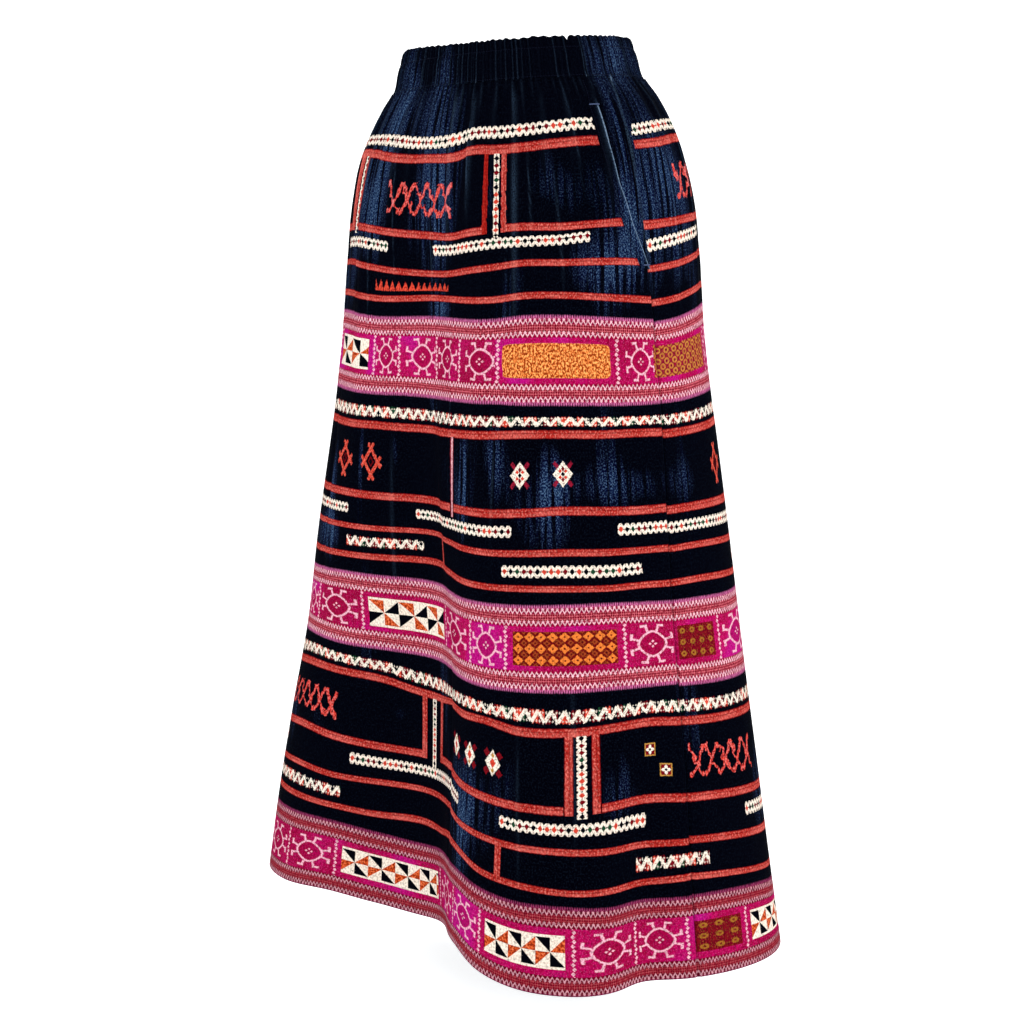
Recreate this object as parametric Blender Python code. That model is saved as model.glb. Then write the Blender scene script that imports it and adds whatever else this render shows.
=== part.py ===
"""A long gathered skirt of printed cotton, as it hangs when worn, in metres.

The origin is the middle of the waist edge, where the wearer's waist carries the skirt.
+Z is up, the front faces -Y, and the side seams lie at +X (wearer's left) and -X.
"""
from math import cos, pi

import bmesh
import bpy
import numpy as np

# Driving dimensions
SIDE_LENGTH = 0.897       # waist edge to hem, straight down at the side seams
CASING_HEIGHT = 0.038     # the elastic casing at the waist
CLOTH = 0.0015            # the printed cotton, with its turned edges
CASING_WALL = 0.003       # two layers of cotton and the elastic between them
SEAM_GAP = 0.0003         # between pieces that are sewn together

# The skirt tips forward: each level rises this much for each metre towards the back
RISE_AT_WAIST = 0.056
RISE_AT_HEM = -0.048

# Plan of the skirt at each level, all in metres but squareness. Squareness is the
# power of a superellipse, and 2 is an ellipse. The hollow is the deep soft fold down
# the front: how far it is pushed in, its place from the middle, and its half width.
LEVEL_COLUMNS = ("drop", "half_width", "half_depth", "squareness",
                 "hollow", "hollow_x", "hollow_width", "set_back")
LEVELS = (
    (0.000, 0.135, 0.101, 2.10, 0.004, 0.045, 0.080, 0.001),
    (0.012, 0.1415, 0.105, 2.10, 0.004, 0.045, 0.080, 0.0015),
    (0.036, 0.150, 0.111, 2.10, 0.005, 0.045, 0.080, 0.0025),
    (0.055, 0.166, 0.120, 2.12, 0.006, 0.044, 0.075, 0.003),
    (0.098, 0.191, 0.136, 2.15, 0.010, 0.042, 0.070, 0.003),
    (0.150, 0.204, 0.1475, 2.18, 0.014, 0.040, 0.062, 0.005),
    (0.210, 0.210, 0.153, 2.20, 0.018, 0.038, 0.058, 0.006),
    (0.290, 0.2135, 0.159, 2.25, 0.022, 0.036, 0.058, 0.006),
    (0.390, 0.228, 0.168, 2.35, 0.032, 0.034, 0.065, 0.006),
    (0.500, 0.245, 0.176, 2.50, 0.048, 0.030, 0.078, 0.004),
    (0.610, 0.262, 0.178, 2.75, 0.058, 0.022, 0.095, 0.002),
    (0.710, 0.282, 0.183, 2.95, 0.067, 0.018, 0.108, -0.003),
    (0.810, 0.295, 0.193, 3.10, 0.076, 0.018, 0.114, -0.005),
    (0.902, 0.305, 0.203, 3.20, 0.085, 0.022, 0.115, -0.004),
)

# Soft folds that run down the cloth. A place is a share of the panel's width, counted
# the way the outline is walked: the front from the wearer's right seam to the left,
# the back from the left seam to the right. Depth is out of the skirt, or into it if
# less than 0. A fold starts, is full and has died away at these drops.
FOLD_COLUMNS = ("half", "place", "lean", "half_width", "depth", "starts", "full", "ends")
FOLDS = (
    ("front", 0.425, 0.06, 0.014, 0.004, 0.09, 0.22, 0.46),
    ("front", 0.732, 0.05, 0.014, 0.005, 0.18, 0.30, 0.48),
    ("front", 0.625, 0.04, 0.016, 0.005, 0.32, 0.42, 0.58),
    ("front", 0.937, 0.00, 0.036, -0.018, 0.58, 0.86, 2.00),
    ("front", 0.130, -0.03, 0.055, -0.020, 0.38, 0.85, 2.00),
    ("back", 0.370, 0.03, 0.045, -0.018, 0.34, 0.84, 2.00),
    ("back", 0.560, -0.03, 0.070, -0.036, 0.28, 0.86, 2.00),
    ("back", 0.655, 0.03, 0.020, 0.006, 0.16, 0.34, 0.60),
    ("back", 0.800, -0.04, 0.055, -0.026, 0.34, 0.86, 2.00),
)

# Gathers
WAIST_GATHERS = 96        # small pleats round the elastic casing
PANEL_GATHERS = 32        # pleats across each panel, below the casing
GATHER_DEPTH = 0.0018
GATHERS_FADE = 0.085      # the gathers start to open out at this drop
GATHERS_GONE = 0.290
FLAT_EDGE = 0.014         # a panel's edge lies flat for this width beside a seam
EDGE_BLEND = 0.030

# Levels at which the cloth of the panels turns
PANEL_DROPS = (0.0383, 0.060, 0.080, 0.105, 0.140, 0.180, 0.223,
               0.290, 0.370, 0.460, 0.560, 0.670, 0.780, SIDE_LENGTH)

# The casing, from its frilled edge down: how far it swells out, and its gathers' depth
CASING_COLUMNS = ("drop", "swell", "gather_depth")
CASING = (
    (0.000, 0.0010, 0.0016),
    (0.008, -0.0006, 0.0009),
    (0.018, 0.0012, 0.0014),
    (0.029, 0.0012, 0.0014),
    (CASING_HEIGHT, -0.0003, 0.0010),
)

# The slanted side pockets: how far the side seam swings forward beside them at each
# drop, and the width from the seam to the slash
POCKET_DROPS = (0.038, 0.068, 0.105, 0.140, 0.180, 0.223, 0.290)
SEAM_SWINGS = (0.001, 0.0085, 0.011, 0.011, 0.0085, 0.002, 0.0)
SLASH_WIDTHS = (0.022, 0.0225, 0.0215, 0.0185, 0.011, 0.0, 0.0)
POCKET_END = 0.223
WELT_WIDTH = 0.012
WELT_WALL = 0.001
WELT_COLUMNS = 2
BACKING_TUCK = 0.012      # the backing runs this far behind the front panel
BACKING_SEAM = 0.006      # and this far behind the back panel
BACKING_DEPTH = CLOTH + 0.0004
BACKING_COLUMNS = 6

OUTLINE_STEPS = 1440      # fine steps round an outline, before it is divided evenly
FLARE_REACH = 0.004       # the skirt's flare at a level is measured over this drop
EDGE_ANGLE = pi / 3       # edges sharper than this are shaded sharp


def blend(value, start, end):
    """A smooth step from 0 at start to 1 at end."""
    share = np.clip((value - start) / (end - start), 0.0, 1.0)
    return share * share * (3.0 - 2.0 * share)


def level_at(drop):
    """The plan's sizes at a drop, on a smooth curve through the rows of LEVELS."""
    rows = np.array(LEVELS)
    drops = rows[:, 0]
    slopes = np.gradient(rows, drops, axis=0)
    low = int(np.clip(np.searchsorted(drops, drop) - 1, 0, len(drops) - 2))
    span = drops[low + 1] - drops[low]
    t = (drop - drops[low]) / span
    sizes = ((2 * t**3 - 3 * t**2 + 1) * rows[low]
             + (t**3 - 2 * t**2 + t) * span * slopes[low]
             + (3 * t**2 - 2 * t**3) * rows[low + 1]
             + (t**3 - t**2) * span * slopes[low + 1])
    return dict(zip(LEVEL_COLUMNS, sizes))


def walk_along(x, y):
    """Distance walked along a line of points, from its first one."""
    return np.concatenate(([0.0], np.cumsum(np.hypot(np.diff(x), np.diff(y)))))


def outward(x, y):
    """Unit normals of a closed outline that is walked anticlockwise."""
    ahead_x, ahead_y = np.roll(x[:-1], -1), np.roll(y[:-1], -1)
    behind_x, behind_y = np.roll(x[:-1], 1), np.roll(y[:-1], 1)
    normal_x, normal_y = ahead_y - behind_y, behind_x - ahead_x
    size = np.hypot(normal_x, normal_y)
    normal_x, normal_y = normal_x / size, normal_y / size
    return np.append(normal_x, normal_x[0]), np.append(normal_y, normal_y[0])


class Outline:
    """The skirt's closed plan at one drop, walked from the wearer's right side seam."""

    def __init__(self, drop):
        size = level_at(drop)
        angle = np.linspace(-pi, pi, OUTLINE_STEPS + 1)
        power = size["squareness"]
        reach = (np.abs(np.cos(angle) / size["half_width"])**power
                 + np.abs(np.sin(angle) / size["half_depth"])**power)**(-1.0 / power)
        x = reach * np.cos(angle)
        y = reach * np.sin(angle) + size["set_back"]
        hollow = np.exp(-((x - size["hollow_x"]) / size["hollow_width"])**2)
        y = y + size["hollow"] * hollow * np.clip(-np.sin(angle), 0.0, 1.0)
        self.walk = walk_along(x, y)
        self.front = self.walk[OUTLINE_STEPS // 2]
        self.whole = self.walk[-1]
        normal_x, normal_y = outward(x, y)
        push = self.folds(drop)
        self.x = x + push * normal_x
        self.y = y + push * normal_y
        self.normal_x, self.normal_y = outward(self.x, self.y)
        self.drop = drop
        self.rise = RISE_AT_WAIST + (RISE_AT_HEM - RISE_AT_WAIST) * drop / SIDE_LENGTH

    def folds(self, drop):
        """How far the soft folds push each point of the outline out or in."""
        push = np.zeros_like(self.walk)
        for row in FOLDS:
            fold = dict(zip(FOLD_COLUMNS, row))
            start = 0.0 if fold["half"] == "front" else self.front
            width = self.front if fold["half"] == "front" else self.whole - self.front
            place = fold["place"] - fold["lean"] * (SIDE_LENGTH - drop)
            distance = (self.walk - start - place * width) / fold["half_width"]
            strength = (blend(drop, fold["starts"], fold["full"])
                        * (1.0 - blend(drop, fold["full"], fold["ends"])))
            push += fold["depth"] * strength * np.exp(-distance**2)
        return push

    def point(self, place, out=0.0):
        """The point at a walked distance round the outline, moved out of the skirt."""
        place = place % self.whole
        x = np.interp(place, self.walk, self.x) + out * np.interp(place, self.walk, self.normal_x)
        y = np.interp(place, self.walk, self.y) + out * np.interp(place, self.walk, self.normal_y)
        return x, y, self.rise * y - self.drop


def seam_swing(drop):
    """How far forward of the skirt's side its seam lies."""
    return float(np.interp(drop, POCKET_DROPS, SEAM_SWINGS))


def slash_width(drop):
    """Width from the side seam to the pocket's slash."""
    return float(np.interp(drop, POCKET_DROPS, SLASH_WIDTHS))


def level_share(drop):
    """How much further a wall's faces lie apart along the level than straight through it."""
    wider = level_at(drop + FLARE_REACH)["half_width"] - level_at(drop)["half_width"]
    return float(np.hypot(1.0, wider / FLARE_REACH))


def panel_rows(half, inward):
    """Rows of points of the front or back panel, with its gathers and flat edges.

    Inward is the depth under the cloth's outer face, straight through the wall.
    """
    columns = 2 * PANEL_GATHERS
    rows = []
    for drop in PANEL_DROPS:
        outline = Outline(drop)
        swing = seam_swing(drop)
        if half == "front":
            first = swing + slash_width(drop) + SEAM_GAP / 2
            last = outline.front - first
        else:
            first = outline.front - swing + SEAM_GAP / 2
            last = outline.whole + swing - SEAM_GAP / 2
        depth = GATHER_DEPTH * (1.0 - blend(drop, GATHERS_FADE, GATHERS_GONE))
        level_inward = inward * level_share(drop)
        row = []
        for column in range(columns + 1):
            place = first + (last - first) * column / columns
            from_edge = min(place - first, last - place)
            flat = float(np.clip((from_edge - FLAT_EDGE) / EDGE_BLEND, 0.0, 1.0))
            row.append(outline.point(place, -depth * flat * cos(pi * column) - level_inward))
        rows.append(row)
    return rows


def casing_rows(inward):
    """Rows of points of the waist casing, a closed ring of small gathers."""
    columns = 2 * WAIST_GATHERS
    rows = []
    for row in CASING:
        casing = dict(zip(CASING_COLUMNS, row))
        outline = Outline(casing["drop"])
        middle = casing["swell"] - inward * level_share(casing["drop"])
        rows.append([outline.point(outline.whole * column / columns,
                                   middle + casing["gather_depth"] * cos(pi * column))
                     for column in range(columns)])
    return rows


def pocket_rows(side, behind, ahead, columns, out):
    """Rows of points of a strip beside the slash of one pocket.

    It runs from a distance behind the slash, or behind the side seam if None, to a
    distance ahead of the slash, towards the middle of the front.
    """
    rows = []
    for drop in (d for d in PANEL_DROPS if d <= POCKET_END):
        outline = Outline(drop)
        slash = slash_width(drop) + SEAM_GAP / 2
        swing = seam_swing(drop)
        start = -BACKING_SEAM if behind is None else slash - behind
        end = slash + ahead
        level_out = out * level_share(drop)
        row = []
        for column in range(columns + 1):
            from_side = swing + start + (end - start) * column / columns
            if side == "left":
                row.insert(0, outline.point(outline.front - from_side, level_out))
            else:
                row.append(outline.point(from_side, level_out))
        rows.append(row)
    return rows


def cloth_material(name, colour, roughness):
    """A plain matt cloth."""
    material = bpy.data.materials.new(name)
    material.use_nodes = True
    shader = material.node_tree.nodes["Principled BSDF"]
    shader.inputs["Base Color"].default_value = (*colour, 1.0)
    shader.inputs["Roughness"].default_value = roughness
    shader.inputs["Metallic"].default_value = 0.0
    return material


def sew(name, outer_rows, inner_rows, closed, material, collection):
    """A cloth wall lofted through its outer and inner rows of points.

    Both faces turn at the same levels, so the wall's edges are level and meet the
    next piece evenly at a seam.
    """
    sheet = bmesh.new()
    outer = [[sheet.verts.new(point) for point in row] for row in outer_rows]
    inner = [[sheet.verts.new(point) for point in row] for row in inner_rows]
    count = len(outer_rows[0])
    steps = [(here, (here + 1) % count) for here in range(count if closed else count - 1)]
    for level in range(len(outer) - 1):
        for here, there in steps:
            sheet.faces.new((outer[level][here], outer[level + 1][here],
                             outer[level + 1][there], outer[level][there]))
            sheet.faces.new((inner[level][here], inner[level][there],
                             inner[level + 1][there], inner[level + 1][here]))
        if not closed:
            sheet.faces.new((outer[level][0], inner[level][0],
                             inner[level + 1][0], outer[level + 1][0]))
            sheet.faces.new((outer[level][-1], outer[level + 1][-1],
                             inner[level + 1][-1], inner[level][-1]))
    for here, there in steps:
        sheet.faces.new((outer[0][here], outer[0][there], inner[0][there], inner[0][here]))
        sheet.faces.new((outer[-1][here], inner[-1][here], inner[-1][there], outer[-1][there]))
    mesh = bpy.data.meshes.new(name)
    sheet.to_mesh(mesh)
    sheet.free()
    mesh.materials.append(material)
    mesh.shade_smooth()
    mesh.set_sharp_from_angle(angle=EDGE_ANGLE)
    collection.objects.link(bpy.data.objects.new(name, mesh))


def make_skirt():
    """All the pieces of the skirt."""
    for thing in list(bpy.data.objects):
        bpy.data.objects.remove(thing)
    skirt = bpy.data.collections.new("Gathered skirt")
    bpy.context.scene.collection.children.link(skirt)

    indigo = cloth_material("Indigo cotton", (0.008, 0.014, 0.045), 0.85)
    printed = cloth_material("Printed cotton", (0.03, 0.012, 0.04), 0.85)

    sew("waistband", casing_rows(0.0), casing_rows(CASING_WALL), True, indigo, skirt)
    for half in ("front", "back"):
        sew(half + "_panel", panel_rows(half, 0.0), panel_rows(half, CLOTH), False,
            printed, skirt)
    for side in ("left", "right"):
        sew("pocket_backing_" + side,
            pocket_rows(side, None, BACKING_TUCK, BACKING_COLUMNS, -BACKING_DEPTH),
            pocket_rows(side, None, BACKING_TUCK, BACKING_COLUMNS, -BACKING_DEPTH - CLOTH),
            False, indigo, skirt)
        sew("pocket_welt_" + side,
            pocket_rows(side, 0.0, WELT_WIDTH, WELT_COLUMNS, SEAM_GAP + WELT_WALL),
            pocket_rows(side, 0.0, WELT_WIDTH, WELT_COLUMNS, SEAM_GAP),
            False, indigo, skirt)


make_skirt()
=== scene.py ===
"""A long gathered skirt of indigo cotton with printed bands, as it hangs when worn, in metres."""

from math import cos, pi, radians, sin, tan

import bpy
import numpy as np
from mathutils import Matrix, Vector


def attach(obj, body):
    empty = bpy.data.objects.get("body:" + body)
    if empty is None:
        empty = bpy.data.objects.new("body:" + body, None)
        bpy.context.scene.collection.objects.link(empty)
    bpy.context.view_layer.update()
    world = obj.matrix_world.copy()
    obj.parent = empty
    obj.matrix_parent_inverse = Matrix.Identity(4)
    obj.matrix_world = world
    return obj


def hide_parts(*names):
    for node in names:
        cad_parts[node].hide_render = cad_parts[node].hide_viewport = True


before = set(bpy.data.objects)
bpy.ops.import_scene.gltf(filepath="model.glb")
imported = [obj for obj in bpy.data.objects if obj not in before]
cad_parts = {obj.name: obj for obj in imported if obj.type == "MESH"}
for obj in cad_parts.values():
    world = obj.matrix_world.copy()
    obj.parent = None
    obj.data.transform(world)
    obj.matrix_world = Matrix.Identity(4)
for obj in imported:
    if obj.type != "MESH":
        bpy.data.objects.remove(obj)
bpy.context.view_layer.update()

# The waist casing
# A tube of the skirt's own indigo cotton, folded over a flat elastic and closed with two rows of
# stitches. The elastic draws it into about two hundred small uneven pleats, and the cloth above
# the upper row stands up as a frill.

SIDE_LENGTH = 0.897        # waist edge to hem, straight down at the side seams
CASING_HEIGHT = 0.038
SEAM_GAP = 0.0003
CUT_WIDTH = 0.87           # the front's width at the hem, where the cloth lies ungathered

# The skirt tips forward: each level rises this much for each metre towards the back
RISE_AT_WAIST = 0.056
RISE_AT_HEM = -0.048

# Plan of the skirt at each drop from the waist: a superellipse with a deep soft hollow
# pressed into its front
LEVEL_COLUMNS = ("drop", "half_width", "half_depth", "squareness",
                 "hollow", "hollow_x", "hollow_width", "set_back")
LEVELS = (
    (0.000, 0.135, 0.101, 2.10, 0.004, 0.045, 0.080, 0.001),
    (0.012, 0.1415, 0.105, 2.10, 0.004, 0.045, 0.080, 0.0015),
    (0.036, 0.150, 0.111, 2.10, 0.005, 0.045, 0.080, 0.0025),
    (0.055, 0.166, 0.120, 2.12, 0.006, 0.044, 0.075, 0.003),
    (0.098, 0.191, 0.136, 2.15, 0.010, 0.042, 0.070, 0.003),
    (0.150, 0.204, 0.1475, 2.18, 0.014, 0.040, 0.062, 0.005),
    (0.210, 0.210, 0.153, 2.20, 0.018, 0.038, 0.058, 0.006),
    (0.290, 0.2135, 0.159, 2.25, 0.022, 0.036, 0.058, 0.006),
    (0.390, 0.228, 0.168, 2.35, 0.032, 0.034, 0.065, 0.006),
    (0.500, 0.245, 0.176, 2.50, 0.048, 0.030, 0.078, 0.004),
    (0.610, 0.262, 0.178, 2.75, 0.058, 0.022, 0.095, 0.002),
    (0.710, 0.282, 0.183, 2.95, 0.067, 0.018, 0.108, -0.003),
    (0.810, 0.295, 0.193, 3.10, 0.076, 0.018, 0.114, -0.005),
    (0.902, 0.305, 0.203, 3.20, 0.085, 0.022, 0.115, -0.004),
)

# Soft folds down the cloth. A place is a share of the panel's width. Depth is out of the skirt,
# or into it if less than 0. A fold starts, is full and has died away at these drops.
FOLD_COLUMNS = ("half", "place", "lean", "half_width", "depth", "starts", "full", "ends")
FOLDS = (
    ("front", 0.425, 0.06, 0.014, 0.004, 0.09, 0.22, 0.46),
    ("front", 0.732, 0.05, 0.014, 0.005, 0.18, 0.30, 0.48),
    ("front", 0.625, 0.04, 0.016, 0.005, 0.32, 0.42, 0.58),
    ("front", 0.937, 0.00, 0.036, -0.018, 0.58, 0.86, 2.00),
    ("front", 0.130, -0.03, 0.055, -0.020, 0.38, 0.85, 2.00),
    ("back", 0.370, 0.03, 0.045, -0.018, 0.34, 0.84, 2.00),
    ("back", 0.560, -0.03, 0.070, -0.036, 0.28, 0.86, 2.00),
    ("back", 0.655, 0.03, 0.020, 0.006, 0.16, 0.34, 0.60),
    ("back", 0.800, -0.04, 0.055, -0.026, 0.34, 0.86, 2.00),
)

HALF_STEPS = 720           # fine steps across a panel, from seam to seam
DROP_STEP = 0.002
DROPS = np.arange(-0.008, SIDE_LENGTH + 0.012, DROP_STEP)


def blend(value, start, end):
    """A smooth step from 0 at start to 1 at end."""
    share = np.clip((value - start) / (end - start), 0.0, 1.0)
    return share * share * (3.0 - 2.0 * share)


def between(places, values, low, share):
    """A smooth curve through values at some places, a share of the way from place low to the next."""
    slopes = np.gradient(values, places, axis=0)
    span = places[low + 1] - places[low]
    return ((2 * share**3 - 3 * share**2 + 1) * values[low]
            + (share**3 - 2 * share**2 + share) * span * slopes[low]
            + (3 * share**2 - 2 * share**3) * values[low + 1]
            + (share**3 - share**2) * span * slopes[low + 1])


def level_at(drop):
    """The plan's sizes at a drop, on a smooth curve through the rows of LEVELS."""
    rows = np.array(LEVELS)
    drops = rows[:, 0]
    low = int(np.clip(np.searchsorted(drops, drop) - 1, 0, len(drops) - 2))
    share = (drop - drops[low]) / (drops[low + 1] - drops[low])
    return dict(zip(LEVEL_COLUMNS, between(drops, rows, low, share)))


def walk_along(x, y):
    """Distance walked along a line of points, from its first one."""
    return np.concatenate(([0.0], np.cumsum(np.hypot(np.diff(x), np.diff(y)))))


def outward(x, y):
    """Unit normals of a closed outline that is walked anticlockwise."""
    ahead_x, ahead_y = np.roll(x[:-1], -1), np.roll(y[:-1], -1)
    behind_x, behind_y = np.roll(x[:-1], 1), np.roll(y[:-1], 1)
    normal_x, normal_y = ahead_y - behind_y, behind_x - ahead_x
    size = np.hypot(normal_x, normal_y)
    normal_x, normal_y = normal_x / size, normal_y / size
    return np.append(normal_x, normal_x[0]), np.append(normal_y, normal_y[0])


def outline(drop):
    """The skirt's plan at a drop, evenly spaced over each panel: x, y, normal x, normal y.

    It starts at the wearer's right side seam. Also the front's width there.
    """
    size = level_at(drop)
    angle = np.linspace(-pi, pi, 2 * HALF_STEPS + 1)
    power = size["squareness"]
    reach = (np.abs(np.cos(angle) / size["half_width"])**power
             + np.abs(np.sin(angle) / size["half_depth"])**power)**(-1.0 / power)
    x = reach * np.cos(angle)
    y = reach * np.sin(angle) + size["set_back"]
    hollow = np.exp(-((x - size["hollow_x"]) / size["hollow_width"])**2)
    y = y + size["hollow"] * hollow * np.clip(-np.sin(angle), 0.0, 1.0)
    walk = walk_along(x, y)
    front, whole = walk[HALF_STEPS], walk[-1]
    push = np.zeros_like(walk)
    for row in FOLDS:
        fold = dict(zip(FOLD_COLUMNS, row))
        start, width = (0.0, front) if fold["half"] == "front" else (front, whole - front)
        place = fold["place"] - fold["lean"] * (SIDE_LENGTH - drop)
        distance = (walk - start - place * width) / fold["half_width"]
        strength = (blend(drop, fold["starts"], fold["full"])
                    * (1.0 - blend(drop, fold["full"], fold["ends"])))
        push += fold["depth"] * strength * np.exp(-distance**2)
    normal_x, normal_y = outward(x, y)
    x, y = x + push * normal_x, y + push * normal_y
    normal_x, normal_y = outward(x, y)
    even = np.concatenate((np.linspace(0.0, front, HALF_STEPS + 1),
                           np.linspace(front, whole, HALF_STEPS + 1)[1:]))
    return [np.interp(even, walk, values) for values in (x, y, normal_x, normal_y)], front


plans = [outline(drop) for drop in DROPS]
PLAN = np.array([plan for plan, _ in plans]).transpose(0, 2, 1)
FRONT_WIDTHS = np.array([front for _, front in plans])


def front_width(drop):
    """Width of the front across the cloth at a drop."""
    return np.interp(drop, DROPS, FRONT_WIDTHS)


def cloth_at(turn, drop, out=0.0):
    """Points of the cloth, moved out of the skirt by a distance.

    Turn is 0 to 1 across the front from the wearer's right seam, and 1 to 2 across the back.
    """
    turn, drop, out = np.broadcast_arrays(turn, drop, out)
    row = np.clip((drop - DROPS[0]) / DROP_STEP, 0.0, len(DROPS) - 1.001)
    column = np.mod(turn, 2.0) * HALF_STEPS
    high, left = row.astype(int), np.minimum(column.astype(int), 2 * HALF_STEPS - 1)
    down, across = (row - high)[..., None], (column - left)[..., None]
    place = ((PLAN[high, left] * (1 - across) + PLAN[high, left + 1] * across) * (1 - down)
             + (PLAN[high + 1, left] * (1 - across) + PLAN[high + 1, left + 1] * across) * down)
    x = place[..., 0] + out * place[..., 2]
    y = place[..., 1] + out * place[..., 3]
    rise = RISE_AT_WAIST + (RISE_AT_HEM - RISE_AT_WAIST) * drop / SIDE_LENGTH
    return np.stack((x, y, rise * y - drop), axis=-1)


def crests(count, seed, uneven):
    """Turns at which the crests of a row of folds lie, and a random share for each."""
    draw = np.random.default_rng(seed)
    gaps = 1.0 + uneven * draw.uniform(-1.0, 1.0, count)
    places = np.concatenate(([0.0], np.cumsum(gaps))) * 2.0 / gaps.sum()
    shares = draw.uniform(0.0, 1.0, count)
    return places, np.append(shares, shares[0])


# Below the casing its pleats die away, and broader flutes take over from them
PLEATS, PLEAT_SHARES = crests(118, seed=3, uneven=0.55)
PLEAT_HEIGHT = 0.0027
FLUTES, FLUTE_SHARES = crests(46, seed=11, uneven=0.45)
FLUTE_HEIGHT = 0.0046
# Drops where they start, are full, begin to die away and are gone, and how much further the longest run
PLEAT_DIES, PLEAT_GONE, PLEAT_LONGEST = 0.040, 0.052, 0.045
FLUTE_STARTS, FLUTE_FULL = 0.036, 0.062
FLUTE_DIES, FLUTE_GONE, FLUTE_LONGEST = 0.085, 0.150, 0.170
FAN, FAN_DROP, FAN_TURN = 0.15, 0.2, 0.6   # flutes spread down to a drop, away from a turn
FLAT_AT_SEAM, FLUTED_FROM = 0.030, 0.095   # they are pressed flat so near to a side seam, in turns
CREST_PALE_MOST = 0.85                              # the palest a crest is painted: rubbed dye and painted highlight


def folded(turn, places):
    """Height, 0 to 1, of a row of folds, and the number of the crest at each turn."""
    number = np.interp(np.mod(turn, 2.0), places, np.arange(len(places)))
    return 0.5 + 0.5 * np.cos(2.0 * pi * number), number


def share_at(number, shares):
    """A fold's random share, blended between crests."""
    return np.interp(number, np.arange(len(shares)), shares)


# Creases that hang down the cloth: turn at the top, how far each leans by its end, half width,
# height, and the drops where it starts and ends
CREASE_COLUMNS = ("turn", "lean", "half_width", "height", "starts", "ends")
CREASES = (
    (0.385, 0.045, 0.0045, 0.0022, 0.06, 0.36), (0.335, 0.030, 0.0050, 0.0020, 0.05, 0.30),
    (0.455, 0.030, 0.0040, 0.0018, 0.05, 0.27), (0.515, 0.020, 0.0050, -0.0015, 0.09, 0.33),
    (0.560, 0.012, 0.0038, 0.0019, 0.05, 0.31), (0.700, 0.018, 0.0035, 0.0021, 0.20, 0.38),
    (0.642, -0.010, 0.0040, 0.0020, 0.22, 0.49), (0.786, 0.010, 0.0050, 0.0013, 0.06, 0.24),
    (0.830, 0.020, 0.0060, 0.0012, 0.10, 0.27), (0.872, 0.012, 0.0040, 0.0014, 0.05, 0.16),
    (0.230, 0.050, 0.0060, 0.0022, 0.06, 0.42), (0.150, 0.030, 0.0060, 0.0018, 0.06, 0.33),
    (0.300, 0.020, 0.0080, -0.0020, 0.30, 0.62), (0.480, -0.015, 0.0090, 0.0016, 0.36, 0.66),
    (0.735, 0.000, 0.0045, 0.0012, 0.37, 0.53), (0.845, 0.005, 0.0070, 0.0012, 0.52, 0.80),
    (0.610, 0.020, 0.0080, -0.0016, 0.55, 0.86), (0.775, 0.010, 0.0060, 0.0011, 0.62, 0.83),
    (1.060, 0.010, 0.0045, 0.0018, 0.05, 0.30), (1.130, 0.025, 0.0050, 0.0016, 0.05, 0.26),
    (1.215, 0.010, 0.0060, 0.0022, 0.06, 0.40), (1.320, -0.020, 0.0050, 0.0018, 0.05, 0.31),
    (1.405, 0.015, 0.0070, 0.0020, 0.07, 0.45), (1.520, 0.010, 0.0045, 0.0019, 0.05, 0.28),
    (1.600, -0.025, 0.0060, 0.0022, 0.06, 0.37), (1.710, 0.015, 0.0050, 0.0018, 0.05, 0.33),
    (1.790, -0.010, 0.0070, 0.0020, 0.08, 0.42), (1.885, 0.010, 0.0045, 0.0017, 0.05, 0.27),
    (1.280, 0.010, 0.0080, -0.0016, 0.42, 0.74), (1.660, -0.010, 0.0080, 0.0015, 0.40, 0.70),
    (0.748, 0.004, 0.0026, 0.0012, 0.10, 0.34), (0.764, 0.004, 0.0120, 0.0022, 0.10, 0.34),
    (0.662, 0.004, 0.0030, 0.0012, 0.07, 0.17), (0.930, 0.020, 0.0040, -0.0016, 0.03, 0.12),
)


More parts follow.
